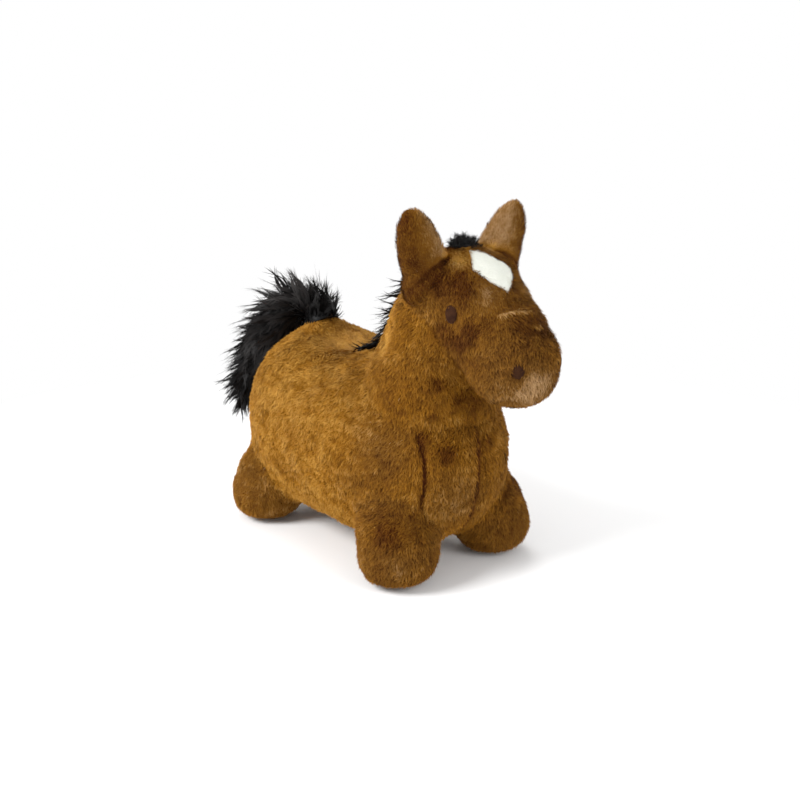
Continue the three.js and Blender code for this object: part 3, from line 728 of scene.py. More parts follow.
    # The pile is thin beside the zip's slot, so that the slider runs free
    beyond = np.maximum(np.abs(source[:, :2] - (0, 1)) - (8, 80), 0)
    zip_side = smooth_step((np.hypot(beyond[:, 0], beyond[:, 1]) - 1) / 12)
    zip_side = 0.4 + 0.6 * np.where(places[:, 2] < 0.06, zip_side, 1)
    thick, pile = thick * zip_side, pile * zip_side
    for (centre, facing, (half_width, half_height)), (bare, short) in zip((EYE, NOSTRIL), BARE):
        for side in SIDES.values():
            _, across, upright = oval_axes(side, facing)
            away = places - np.array(source_point(side * centre[0], *centre[1:]))
            ratio = 1000 * np.hypot(away @ np.array(across) / half_width,
                                    away @ np.array(upright) / half_height)
            near = np.linalg.norm(away, axis=1) < 0.03
            thick = np.where(near & (ratio < bare), 0, thick)
            full = short + (1 - short) * smooth_step(ratio - 0.9)
            pile = np.where(near, pile * full, pile)
    for name, values in (("shade", shade), ("hue", hue), ("pile", pile), ("thick", thick)):
        add_attribute(mesh, name, "FLOAT", values)
    region = mesh.attributes.new("region", "INT", "POINT")
    order = {name: index for index, name in enumerate(FORMS)}
    region.data.foreach_set("value", np.array([order[name] for name in form], np.int32))


def oval_axes(side, facing):
    """The outward, sideways and upright directions of an embroidered oval."""
    out = Vector((side * facing[0], facing[1], facing[2])).normalized()
    across = Vector((0, 0, 1)).cross(out).normalized()
    return out, across, out.cross(across)


def seam_height(y):
    """Height of the seam over the underbody panels, for a place in metres along the horse."""
    return 0.22 - 0.05 * (y - CENTRING * MM)


def cut(bm, faces, point, normal):
    """Cuts faces along a plane, which leaves an edge for a seam."""
    parts = dict.fromkeys(part for face in faces for part in (face, *face.edges, *face.verts))
    bmesh.ops.bisect_plane(bm, geom=list(parts), dist=1e-6, plane_co=point, plane_no=normal)


def in_outline(x, y, outline):
    inside = False
    for (ax, ay), (bx, by) in zip(outline, outline[1:] + outline[:1]):
        if (ay > y) != (by > y) and x < (bx - ax) * (y - ay) / (by - ay) + ax:
            inside = not inside
    return inside


def panel_of(name, centre):
    """The CAD node that a face of the skin belongs to."""
    kind, _, rest = name.partition("_")
    if kind == "barrel":
        hand = "left" if centre.x > 0 else "right"
        below = abs(centre.x) < PANEL_HALF_WIDTH * MM and centre.z < seam_height(centre.y)
        return f"{'underbody' if below else 'side'}_panel_{hand}"
    if kind == "leg":
        place, hand = rest.split("_")
        foot = source_point(SIDES[hand] * 92, ENDS[place] * 162, 0)
        near = (centre - foot).to_2d().length < 0.03 and centre.z < 0.008
        return f"{'sole' if near else 'leg_cover'}_{rest}"
    if kind == "ear":
        return f"ear_cover_{rest}"
    if kind in ("head", "muzzle"):
        before = (centre.y * 1000 - CENTRING) * SEAM_NORMAL[1] + centre.z * 1000 * SEAM_NORMAL[2]
        kind = "muzzle" if before < SEAM_AT else "head"
    place = centre.x * 1000, centre.y * 1000 - CENTRING
    if kind == "head" and centre.z > 0.39 and in_outline(*place, PATCH):
        return "blaze_patch"
    return f"{kind}_cover"


def cut_panels(skin):
    """Cuts the skin along its seams and parts it into one mesh for each panel."""
    bm = bmesh.new()
    bm.from_mesh(skin.data)
    region = bm.verts.layers.int["region"]
    names = list(FORMS)
    owner = bm.faces.layers.int.new("owner")
    for face in bm.faces:
        face[owner] = face.verts[0][region]

    def faces_of(*forms):
        return [face for face in bm.faces if names[face[owner]] in forms]

    def faces_near(point, reach, faces=bm.faces):
        """Faces that lie within reach of a point along each axis."""
        offsets = ((face, face.calc_center_median() - point) for face in faces)
        return [face for face, offset in offsets
                if all(abs(off) < most for off, most in zip(offset, reach))]

    for x in (0, PANEL_HALF_WIDTH * MM, -PANEL_HALF_WIDTH * MM):
        cut(bm, faces_of("barrel"), (x, 0, 0), (1, 0, 0))
    rear = faces_near(Vector(), (0.08, 1, 1), faces_of("barrel"))
    cut(bm, rear, (0, CENTRING * MM, 0.22), (0, 0.05, 1))
    seam = source_point(0, SEAM_AT * SEAM_NORMAL[1], SEAM_AT * SEAM_NORMAL[2])
    cut(bm, faces_of("head", "muzzle"), seam, SEAM_NORMAL)
    slot_low, slot_high = (source_point(*corner) for corner in SLOT)
    for normal in ((1, 0, 0), (0, 1, 0)):
        for point in (slot_low, slot_high):
            cut(bm, faces_near(Vector(), (0.03, 0.11, 0.04)), point, normal)
    for (ax, ay), (bx, by) in zip(PATCH, PATCH[1:] + PATCH[:1]):
        start, end = source_point(ax, ay, 0), source_point(bx, by, 0)
        brow = [face for face in bm.faces if face.calc_center_median().z > 0.4
                and (face.calc_center_median() - source_point(0, -240, 440)).to_2d().length < 0.045]
        cut(bm, brow, start, (end - start).cross(Vector(UP)))

    shade, thick = bm.verts.layers.float["shade"], bm.verts.layers.float["thick"]
    # Along the barrel's seams the backing sinks and the pile thins, and the pile is darkened there,
    # which is painted shade in the seams.
    for vert in bm.verts:
        away = min(abs(vert.co.x), abs(abs(vert.co.x) - PANEL_HALF_WIDTH * MM))
        strength = min(max((seam_height(vert.co.y) - vert.co.z) / 0.04, 0), 1)
        strength *= min(max(1.4 - away / 0.002, 0), 1)
        if names[vert[region]] == "barrel" and strength:
            strength *= 0.9 + 0.4 * noise.noise(vert.co * 60)
            vert.co -= vert.normal * 0.0012 * strength
            vert[shade] -= 0.35 * strength
            vert[thick] *= 1 - min(strength, 1)
    middle, half = (slot_low + slot_high) / 2, (slot_high - slot_low) / 2
    slot = faces_near(middle, (half.x, half.y, 0.04))
    rim = dict.fromkeys(edge for face in slot for edge in face.edges)
    bmesh.ops.delete(bm, geom=slot, context="FACES_KEEP_BOUNDARY")
    rim = [edge for edge in rim if edge.is_valid and edge.is_boundary]
    hem = bmesh.ops.extrude_edge_only(bm, edges=rim)["geom"]
    for part in hem:
        if isinstance(part, bmesh.types.BMVert):
            part.co.z, part[thick] = HEM_TOP * MM, 0
    bmesh.ops.recalc_face_normals(bm, faces=bm.faces)

    # The order of the faces is set by their places, so that each run grows the same pile
    bm.faces.sort(key=lambda face: face.calc_center_median().dot((0.81, 0.13, 0.57)))
    panels, owned = {}, {}
    bm.faces.index_update()
    for face in bm.faces:
        name = panel_of(names[face[owner]], face.calc_center_median())
        owned.setdefault(name, set()).add(face.index)
    for name, kept in owned.items():
        part = bm.copy()
        part.faces.ensure_lookup_table()
        bmesh.ops.delete(part, geom=[face for face in part.faces if face.index not in kept],
                         context="FACES")
        panels[name] = to_mesh(part, name)
    bm.free()
    return panels


def blade_object():
    """One flat tuft of pile, a unit long, which leans towards Y."""
    bm = bmesh.new()
    bmesh.ops.create_grid(bm, x_segments=1, y_segments=2, size=0.5)
    along_layer = bm.verts.layers.float.new("along")
    across_layer = bm.verts.layers.float.new("across")
    heights, reaches, widths = (0, 0.36, 0.46), (0, 0.34, 0.86), (0.07, 0.064, 0)
    for vert in bm.verts:
        step = round((vert.co.y + 0.5) * 2)
        side = math.copysign(1, vert.co.x)
        vert.co = (side * widths[step], reaches[step], heights[step])
        vert[along_layer], vert[across_layer] = step / 2, side
    bmesh.ops.remove_doubles(bm, verts=bm.verts, dist=1e-5)
    return make_object("blade", to_mesh(bm, "blade"))


def grow(blade, finish, length, density, lean, turn, soft, rise=0.22, sizes=(0.7, 1.2, 1),
         streaks=0.0):
    """A geometry tree that grows tufts on the outer faces of a panel, lying along its nap."""
    group = bpy.data.node_groups.new("pile", "GeometryNodeTree")
    group.interface.new_socket(name="Geometry", in_out="INPUT", socket_type="NodeSocketGeometry")
    group.interface.new_socket(name="Geometry", in_out="OUTPUT", socket_type="NodeSocketGeometry")
    tree = Tree(group)
    panel = Wire(tree, group.nodes.new("NodeGroupInput").outputs[0])

    def store(geometry, name, value, kind="FLOAT", domain="POINT"):
        return tree.add("GeometryNodeStoreNamedAttribute", {"data_type": kind, "domain": domain},
                        {"Geometry": geometry, "Name": name, "Value": value})

    normal = tree.add("GeometryNodeInputNormal")
    panel = store(panel, "out", normal, "FLOAT_VECTOR")
    panel = store(panel, "along", 0.0)
    outer = tree.add("FunctionNodeCompare", {"data_type": "INT", "operation": "EQUAL"},
                     {"A": tree.add("GeometryNodeInputMaterialIndex"), "B": 0})
    points = tree.add("GeometryNodeDistributePointsOnFaces", {"distribute_method": "RANDOM"}, {
        "Mesh": panel, "Selection": outer, "Density": tree.attribute("thick") * density, "Seed": 3})
    place = tree.add("GeometryNodeInputPosition")
    drift = tree.vector("SCALE", tree.grain(place, 24.0, 1.0).other("Color"), 0.03)
    drift.socket.node.inputs["Scale"].default_value = 0.03
    drift = tree.vector("ADD", tree.vector("MULTIPLY", place, (1.0, 0.42, 1.0)), drift)
    crimp = tree.grain(drift, 170.0, 1.0) - 0.5
    strays = tree.random(0.0, 1.0, 21)
    stray = strays.maths("GREATER_THAN", strays, 0.995)
    points = store(points, "hue", tree.attribute("hue") + tree.random(-0.1, 0.1, 11)
                   + stray * tree.random(-0.9, 0.9, 22))
    points = store(points, "shade", tree.attribute("shade") + tree.random(-0.05, 0.05, 12)
                   + crimp * streaks + stray * tree.random(-0.7, 0.7, 23))
    turned = tree.add("FunctionNodeAxesToRotation", {"primary_axis": "Z", "secondary_axis": "Y"}, {
        "Primary Axis": tree.attribute("out", "FLOAT_VECTOR"),
        "Secondary Axis": tree.attribute("lie", "FLOAT_VECTOR")})
    wobble = tree.add("ShaderNodeCombineXYZ", {}, {
        0: tree.random(-lean, lean, 13), 1: tree.random(-lean, lean, 14),
        2: tree.random(-turn, turn, 15)})
    turned = tree.add("FunctionNodeRotateRotation", {"rotation_space": "LOCAL"},
                      {"Rotation": turned, "Rotate By": wobble})
    shortest, longest, power = sizes
    size = tree.random(0.0, 1.0, 16) ** power * (longest - shortest) + shortest
    size = tree.attribute("pile") * size * (crimp * streaks + 1) * (1 - stray * 0.3) * length
    tufts = tree.add("GeometryNodeObjectInfo", {}, {"Object": blade}).other("Geometry")
    tufts = tree.add("GeometryNodeInstanceOnPoints", {}, {
        "Points": points, "Instance": tufts, "Rotation": turned,
        "Scale": tree.add("ShaderNodeCombineXYZ", {}, {0: size * tree.random(0.75, 1.25, 17),
                                                       1: size, 2: size})})
    tufts = tree.add("GeometryNodeRealizeInstances", {}, {"Geometry": tufts})
    both = tree.add("GeometryNodeJoinGeometry")
    for part in (panel, tufts):
        tree.tree.links.new(part.socket, both.socket.node.inputs[0])
    place = tree.add("GeometryNodeInputPosition")
    height = tree.add("ShaderNodeSeparateXYZ", {}, {0: place}).other("Z")
    lift = height.maths("MAXIMUM", height, 0.0004) - height
    both = tree.add("GeometryNodeSetPosition", {}, {
        "Geometry": both, "Offset": tree.add("ShaderNodeCombineXYZ", {}, {2: lift})})
    hue, shade = tree.attribute("hue"), tree.attribute("shade")
    across, step = tree.attribute("across"), tree.attribute("along")
    on_map = tree.add("ShaderNodeCombineXYZ", {}, {
        0: tree.spread(hue, 0.02, 0.98, 0.02, 0.98) + across * 0.012,
        1: tree.spread(shade, 0.14, 1.11 - rise, 0.01, 0.98 - rise) + step * rise})
    both = store(both, "OFBake", on_map, "FLOAT2", "CORNER")
    blended = tree.add("ShaderNodeMix", {"data_type": "VECTOR"}, {
        "Factor": soft, "A": normal, "B": tree.attribute("out", "FLOAT_VECTOR")})
    both = tree.add("GeometryNodeSetMeshNormal", {"mode": "FREE", "domain": "POINT"},
                    {"Mesh": both, "Custom Normal": blended})
    for name in ("out", "along", "across", "lie", "pile", "thick", "hue", "shade", "region"):
        both = tree.add("GeometryNodeRemoveAttribute", {}, {"Geometry": both, "Name": name})
    both = tree.add("GeometryNodeSetMaterial", {}, {"Geometry": both, "Material": finish})
    group.links.new(both.socket, group.nodes.new("NodeGroupOutput").inputs[0])
    return group


def plush_material(name, golds, tans):
    """Pile whose map holds hue across, from gold to tan, and shade upwards, from roots to tips."""
    made, tree = material(name, **{"Roughness": 0.85, "Specular IOR Level": 0.12})
    place = tree.add("ShaderNodeUVMap", {"uv_map": "OFBake"})
    across = tree.add("ShaderNodeSeparateXYZ", {}, {0: place})
    shade = across.other("Y")
    ramps = [tree.add("ShaderNodeValToRGB", {"stops": list(zip((0.05, 0.5, 0.95), colours))},
                      {"Fac": shade}) for colours in (golds, tans)]
    feed(tree, "Base Color", tree.mix(tree.spread(across, 0.1, 0.9), *ramps))
    return made


def sew_panel(name, mesh, tree, finish):
    """One panel of the cover with its pile, in place of its CAD node."""
    mesh.materials.append(finish)
    mesh.materials.append(finish)
    mesh.polygons.foreach_set("use_smooth", [True] * len(mesh.polygons))
    made = make_object(f"{name}_plush", mesh)
    add_modifier(made, "SOLIDIFY", thickness=0.0006, offset=-1, material_offset=1,
                 material_offset_rim=1)
    add_modifier(made, "NODES", node_group=tree)
    baked(made)
    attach(made, "cover")
    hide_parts(name)
    return made


class Piece(bpy.types.Operator):
    """A step of the making, which the panel lists."""
    bl_options = {"REGISTER", "UNDO"}

    def execute(self, context):
        self.make(context.scene.hopper)
        return {"FINISHED"}


class HOPPER_OT_cover(Piece):
    """Make the plush cover's panels with their pile"""
    bl_idname = "hopper.cover"
    bl_label = "Plush Cover"

    def make(self, hopper):
        plush = hopper.plush
        skin, *met = draw_skin(plush)
        dress_skin(skin.data, *met)
        panels = cut_panels(skin)
        bpy.data.objects.remove(skin)
        blade = blade_object()
        finish = plush_material("plush", (plush.gold_dark, plush.gold_mid, plush.gold_light),
                                (plush.tan_dark, plush.tan_mid, plush.tan_light))
        white = tuple(hopper.face.white)
        whites = [tuple(level * share for level in white) for share in (0.9, 1, 1)]
        pale = plush_material("white_plush", whites, whites)
        tree = grow(blade, finish, plush.pile, plush.density, 0.3, 0.5, 0.88, streaks=0.5)
        short = grow(blade, pale, plush.pile * 0.5, plush.density * 1.6, 0.3, 0.5, 0.97)
        for name, mesh in sorted(panels.items()):
            patch = name == "blaze_patch"
            sew_panel(name, mesh, short if patch else tree, pale if patch else finish)
        bpy.data.objects.remove(blade)


def wisp_object(strands, seed, curls=1.0):
    """A unit long wisp of tapered strands that draw together towards a curved tip along Y."""
    rng = np.random.default_rng(seed)
    whole = bmesh.new()
    along_layer = whole.verts.layers.float.new("along")
    across_layer = whole.verts.layers.float.new("across")
    rows = 6
    for _ in range(strands):
        spin, root = rng.uniform(0, math.tau), rng.uniform(0.02, 0.085)
        reach, curl = rng.uniform(0.7, 1.0), rng.uniform(-0.16, 0.16) * curls
        made = bmesh.ops.create_grid(whole, x_segments=1, y_segments=rows, size=0.5)
        for vert in made["verts"]:
            step = vert.co.y + 0.5
            side = math.copysign(1, vert.co.x)
            together = (1 - step) ** 1.2
            width = 0.016 * (1 - step**2.2) + 0.0008
            vert[along_layer], vert[across_layer] = step, side
            lift = 0.5 * step**0.85 - 0.06 * step**3
            sway = curl * math.sin(step * 4.5) * step
            vert.co = (math.cos(spin) * root * together + side * width + sway,
                       reach * 0.86 * step, reach * lift + math.sin(spin) * root * together * 0.5)
    return make_object("wisp", to_mesh(whole, "wisp"))


# How many places along a spine its hair is combed by
SPINE_MARKS = 40


def comb(mesh, form, sideways=0.0, seed=21, rearing=0.0, gathered=0.0):
    """Sets how a form's hair lies: along its spine, outwards from it, rearing up at its root and
    gathered into one lock at its end."""
    places = numbers(mesh.vertices, "co")
    outwards = numbers(mesh.vertex_normals, "vector")
    marks, tangents = [], []
    for share in np.linspace(0, 1, SPINE_MARKS):
        _, tangent, centre = form.on_spine(share)
        marks.append(source_point(*centre))
        tangents.append(tangent)
    marks, tangents = np.array(marks), np.array(tangents)
    nearest = np.argmin(np.linalg.norm(places[:, None] - marks[None], axis=2), axis=1)
    share = nearest / (SPINE_MARKS - 1)
    lock = gathered * smooth_step((share - 0.7) / 0.15)
    lie = tangents[nearest] + (1 - 0.7 * lock)[:, None] * 0.5 * swirl(places, 30, seed)
    lie[:, 0] += sideways * np.sign(places[:, 0]) * (1 - lock)
    lie += rearing * smooth_step(1 - share / 0.24)[:, None] * np.array((0.0, -1.0, 1.2))
    lie -= outwards * np.sum(lie * outwards, axis=1)[:, None]
    add_attribute(mesh, "lie", "FLOAT_VECTOR", unit(lie))
    pile = (1 + 0.25 * noise_at(places, 22, seed + 1)) * (1 - 0.35 * lock)
    # The hair is paler near the start of its spine and darker towards its end, which is painted light
    # and shade; the noise is its tone at random.
    add_attribute(mesh, "shade", "FLOAT", 0.62 + 0.3 * noise_at(places, 14, seed) - 0.7 * share)
    add_attribute(mesh, "hue", "FLOAT", np.full(len(places), 0.5))
    add_attribute(mesh, "pile", "FLOAT", pile)
    return places


def merge(core, other, operation):
    """Joins the other closed form on, or cuts it away, and clears it."""
    add_modifier(core, "BOOLEAN", operation=operation, solver="EXACT", object=other)
    baked(core)
    bpy.data.objects.remove(other)


def renumber(core):
    """Numbers corners and faces by their places, so that each run grows the same hair."""
    mesh = core.data
    places = [tuple(round(value, 6) for value in vert.co) for vert in mesh.vertices]
    order = sorted(range(len(places)), key=places.__getitem__)
    rank = {old: new for new, old in enumerate(order)}
    faces = []
    for face in mesh.polygons:
        corners = [rank[corner] for corner in face.vertices]
        first = corners.index(min(corners))
        faces.append(corners[first:] + corners[:first])
    core.data = bpy.data.meshes.new(core.name)
    core.data.from_pydata([mesh.vertices[old].co for old in order], [], sorted(faces))


def hair_core(name, form, inset, host=None, host_inset=0):
    """The closed core of a tuft of hair, cut away inside the form that it sits on, where one is
    given.
    """
    core = make_object(name, to_mesh(form.body(inset, 28, 32), name))
    if host:
        other = make_object("host", to_mesh(FORMS[host].body(host_inset), "host"))
        merge(core, other, "DIFFERENCE")
    renumber(core)
    return core


def sew_hair(name, core, body, wisp, hair, *growth):
    """Grows wisps on a core, and sews it on in place of its CAD node."""
    mesh, finish = core.data, hair_material(hair)
    add_attribute(mesh, "thick", "FLOAT", np.ones(len(mesh.vertices)))
    mesh.materials.clear()
    mesh.materials.append(finish)
    add_modifier(core, "NODES", node_group=grow(wisp, finish, *growth))
    baked(core)
    bpy.data.objects.remove(wisp)
    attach(core, body)
    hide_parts(name)
    return core


def hair_material(hair):
    dark, sheen = tuple(hair.black), tuple(hair.sheen)
    middle = tuple((a + b) / 2 for a, b in zip(dark, sheen))
    finish = plush_material("black_hair", [dark, dark, sheen], [dark, middle, sheen])
    finish.node_tree.nodes["Principled BSDF"].inputs["Roughness"].default_value = 0.5
    return finish


class HOPPER_OT_tail(Piece):
    """Make the tail, a stuffed core with long wisps"""
    bl_idname = "hopper.tail"
    bl_label = "Tail"

    def make(self, hopper):
        core = hair_core("tail_hair", TAIL, 11, "barrel", 9)
        self.add_dock(core)
        length = hopper.hair.tail_length
        places = comb(core.data, TAIL, 0.1, rearing=1.6)
        near = np.linalg.norm(places - np.array(source_point(*DOCK)), axis=1) < ROOT_REACH * MM
        pile, shade = core.data.attributes["pile"].data, core.data.attributes["shade"].data
        # The hair at the root is darker, which is painted shade where the tail meets the rump; below
        # ROOT_TOP it is short as well.
        for index in np.flatnonzero(near):
            shade[index].value -= 0.45
            if places[index, 2] < ROOT_TOP * MM:
                pile[index].value *= 0.3
        sew_hair("tail", core, "tail", wisp_object(8, 31), hopper.hair,
                           length, 48000, 0.42, 0.7, 0.3, 0.5, (0.55, 1.75, 3))

    def add_dock(self, core):
        """Joins on the half ball that keeps the tail's root closed over the rump at any lift."""
        ball = bmesh.new()
        bmesh.ops.create_uvsphere(ball, u_segments=36, v_segments=24, radius=DOCK_RADIUS * MM)
        for vert in ball.verts:
            vert.co.z = max(vert.co.z, vert.co.z * 0.02)
        bmesh.ops.rotate(ball, verts=ball.verts, cent=(0, 0, 0),
                         matrix=Matrix.Rotation(math.radians(-30), 3, "X"))
        bmesh.ops.translate(ball, verts=ball.verts, vec=source_point(*DOCK))
        ball = make_object("dock", to_mesh(ball, "dock"))
        merge(core, ball, "UNION")
        renumber(core)


class HOPPER_OT_mane(Piece):
    """Make the mane down the back of the neck"""
    bl_idname = "hopper.mane"
    bl_label = "Mane"

    def make(self, hopper):
        core = hair_core("mane_hair", MANE, 6, "neck", -1)
        comb(core.data, MANE, 0.9, 23, gathered=1.0)
        sew_hair("mane", core, "cover", wisp_object(8, 32), hopper.hair,
                 hopper.hair.mane_length, 70000, 0.4, 0.8, 0.3, 0.5, (0.5, 1.5, 2.5))


class HOPPER_OT_forelock(Piece):
    """Make the curly forelock between the ears"""
    bl_idname = "hopper.forelock"
    bl_label = "Forelock"

    def make(self, hopper):
        core = hair_core("forelock_hair", FORELOCK, 6)
        comb(core.data, FORELOCK, 0.4, 25)
        sew_hair("forelock", core, "cover", wisp_object(6, 33, 2.5), hopper.hair,
                 hopper.hair.mane_length * 0.42, 160000, 0.6, 3.1, 0.3, 0.6)


def stitched_oval(name, host, side, centre, facing, half_sizes, slant, finish):
    """A domed oval of close stitches on the skin of a form."""
    bm = host.body(0.8)
    tree = BVHTree.FromBMesh(bm)
    bm.free()
    out, across, upright = oval_axes(side, facing)
    centre = (side * centre[0], *centre[1:])
    half_width, half_height = half_sizes
    bm = bmesh.new()
    bmesh.ops.create_grid(bm, x_segments=56, y_segments=30, size=1)
    for vert in bm.verts:
        x, y = vert.co.x, vert.co.y
        disc_x, disc_y = x * math.sqrt(1 - y * y / 2), y * math.sqrt(1 - x * x / 2)
        away = math.hypot(disc_x, disc_y)
        start = across * disc_x * half_width + upright * disc_y * half_height
        hit = tree.ray_cast(source_point(*centre) + start * MM + out * 0.05, -out)[0]
        lean = slant * disc_y * half_height + 0.35 * math.sin(disc_y * 2.1)
        ridge = abs(math.sin((disc_x * half_width + lean) * math.pi / 1.5))
        dome = 0.7 * (1 - away**3) + 0.45 * ridge * (1 - away**6) - 1.4 * away**8
        vert.co = hit + out * dome * MM
    bmesh.ops.recalc_face_normals(bm, faces=bm.faces)
    if sum(face.normal.dot(out) for face in bm.faces) < 0:
        bmesh.ops.reverse_faces(bm, faces=bm.faces)
    made = make_object(f"{name}_stitching", to_mesh(bm, name))
    made.data.polygons.foreach_set("use_smooth", [True] * len(made.data.polygons))
    add_modifier(made, "SOLIDIFY", thickness=0.002, offset=-1)
    baked(made)
    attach(made, "cover")
    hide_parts(name)
    made.data.materials.append(finish)


def thread_material(face):
    finish, tree = material("thread", **{"Roughness": 0.78, "Specular IOR Level": 0.12})
    place = tree.place()
    fibre = tree.grain(place, 900.0)
    broad = tree.grain(place, 110.0, 1.0)
    dark = tree.mix(tree.spread(fibre, 0.3, 0.7), *tones(face.thread, 0.5, 1.1))
    feed(tree, "Base Color", tree.mix(tree.spread(broad + fibre * 0.3, 0.35, 1.1), dark,
                                      rgba(face.thread_light)))
    tree.bump(fibre, 0.5, 0.0002)
    return finish


class HOPPER_OT_eyes(Piece):
    """Embroider the eyes"""
    bl_idname = "hopper.eyes"
    bl_label = "Eyes"

    def make(self, hopper):
        finish = thread_material(hopper.face)
        for hand, side in SIDES.items():
            stitched_oval(f"eye_{hand}", FORMS["head"], side, *EYE, 0.5 * side, finish)


class HOPPER_OT_nostrils(Piece):
    """Embroider the nostrils"""
    bl_idname = "hopper.nostrils"
    bl_label = "Nostrils"

    def make(self, hopper):
        finish = thread_material(hopper.face)
        for hand, side in SIDES.items():
            stitched_oval(f"nostril_{hand}", FORMS["muzzle"], side, *NOSTRIL, -0.3 * side, finish)


def finish_nodes(finish, *nodes):
    """Gives CAD nodes that stay their material."""
    for node in nodes:
        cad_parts[node].material_slots[0].material = finish


def zip_cloth_material(rgb):
    """Woven tape: a herringbone of slanting ribs with fibre in them."""
    made, tree = material("zip_cloth", **{"Roughness": 0.92, "Specular IOR Level": 0.15})
    place = tree.place()
    parts = tree.add("ShaderNodeSeparateXYZ", {}, {0: place})
    fold = (parts * 1000 / 3.4).maths("PINGPONG", parts * 1000 / 3.4, 1.0)
    rib = (parts.other("Y") * 1000 / 1.1 + fold * 1.6) * math.tau
    rib = rib.maths("SINE", rib) * 0.5 + 0.5
    fibre = tree.grain(place, 1400.0)
    feed(tree, "Base Color", tree.mix(tree.spread(rib * 0.6 + fibre * 0.6, 0.2, 1.0),
                                      *tones(rgb, 0.5, 1.25)))
    tree.bump(rib * 0.7 + fibre * 0.5, 0.6, 0.0003)
    return made


def moulded_material(name, rgb, rough, worn):
    """Moulded plastic: faint flow marks, and rough specks where it is worn."""
    made, tree = material(name)
    place = tree.place()
    flow, specks = tree.grain(place, 90.0, 3.0), tree.grain(place, 1600.0)
    feed(tree, "Base Color", tree.mix(tree.spread(flow + specks * 0.3, 0.45, 0.85),
                                      *tones(rgb, 1 - worn, 1 + worn / 2)))
    feed(tree, "Roughness", tree.spread(flow + specks * 0.5, 0.4, 1.1, rough - 0.08, rough + 0.16))
    tree.bump(specks, 0.25, 0.0001)
    return made


def zip_metal_material(rgb):
    """Cast zip metal, tumbled smooth, with fine scratches along it."""
    made, tree = material("zip_metal", **{"Metallic": 1.0})
    place = tree.place()
    scratches = tree.grain(tree.vector("MULTIPLY", place, (1.0, 0.12, 1.0)), 2400.0)
    dull = tree.grain(place, 260.0)
    feed(tree, "Base Color", tree.mix(tree.spread(dull + scratches * 0.3, 0.4, 0.8),
                                      *tones(rgb, 0.6, 1.1)))
    feed(tree, "Roughness", tree.spread(scratches + dull * 0.6, 0.5, 1.1, 0.24, 0.5))
    tree.bump(scratches, 0.2, 0.0001)
    return made


class HOPPER_OT_zip(Piece):
    """Finish the zip's tapes, teeth, stops, slider and pull"""
    bl_idname = "hopper.zip"
    bl_label = "Zip"

    def make(self, hopper):
        inside = hopper.inside
        finish_nodes(zip_cloth_material(inside.cloth), "zip_tape_left", "zip_tape_right")
        finish_nodes(moulded_material("zip_plastic", inside.teeth, 0.42, 0.3),
                     "zip_teeth_left", "zip_teeth_right")
        finish_nodes(zip_metal_material(inside.metal), "zip_top_stop_left", "zip_top_stop_right",
                     "zip_bottom_stop", "zip_slider", "zip_pull")


class HOPPER_OT_bladder(Piece):
    """Make the bladder, one vinyl moulding with a parting line and the valve's well"""
    bl_idname = "hopper.bladder"
    bl_label = "Bladder"

    def make(self, hopper):
        inset = hopper.inside.inset / MM
        whole = bmesh.new()
        for name, form in FORMS.items():
            if name == "barrel":
                form = Form(form.spine, UP, form.wide, form.rise, [drop - 1 for drop in form.drop],
                            form.blunt, form.square)
            part = to_mesh(form.body(inset, 28, 36), "part")
            whole.from_mesh(part)
            bpy.data.meshes.remove(part)
        made = make_object("bladder_vinyl", to_mesh(whole, "bladder_vinyl"))
        add_modifier(made, "REMESH", mode="VOXEL", voxel_size=0.0045)
        add_modifier(made, "SMOOTH", factor=0.5, iterations=6)
        well = bmesh.new()
        bmesh.ops.create_cone(well, cap_ends=True, segments=64, radius1=WELL_RADIUS * MM,
                              radius2=WELL_RADIUS * MM, depth=0.06)
        bmesh.ops.translate(well, verts=well.verts, vec=source_point(0, WELL_Y, WELL_ROOF - 30))
        well = make_object("well", to_mesh(well, "well"))
        add_modifier(made, "BOOLEAN", operation="DIFFERENCE", solver="EXACT", object=well)
        baked(made)
        bpy.data.objects.remove(well)
        outwards = numbers(made.data.vertex_normals, "vector")
        places = numbers(made.data.vertices, "co")
        parting = smooth_step(1 - np.abs(places[:, 0]) / 0.004) * (places[:, 2] > 0.06)
        sink, _, dock = sunk(places, outwards)
        rise = 0.8 * parting - sink - 18 * dock
        made.data.vertices.foreach_set("co", (places + outwards * rise[:, None] * MM).ravel())
        made.data.polygons.foreach_set("use_smooth", [True] * len(made.data.polygons))
        finish, tree = material("vinyl", **{"Coat Roughness": 0.3})
        place = tree.place()
        cells = tree.add("ShaderNodeTexVoronoi", {"feature": "DISTANCE_TO_EDGE"},
                         {"Vector": place, "Scale": 700.0})
        cloud = tree.grain(place, 40.0, 3.0)
        feed(tree, "Base Color", tree.mix(tree.spread(cloud, 0.3, 0.7),
                                          *tones(hopper.inside.vinyl, 0.78, 1.06)))
        feed(tree, "Roughness", tree.spread(cloud, 0.3, 0.7, 0.4, 0.58))
        tree.bump(cells, 0.3, 0.0002)
        made.data.materials.clear()
        made.data.materials.append(finish)
        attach(made, "cover")
        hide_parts("bladder")


class HOPPER_OT_valve(Piece):
    """Finish the valve's seat and stopper"""
    bl_idname = "hopper.valve"
    bl_label = "Valve"

    def make(self, hopper):
        finish_nodes(moulded_material("valve_plastic", hopper.inside.valve, 0.38, 0.08),
                     "valve_seat", "valve_plug")


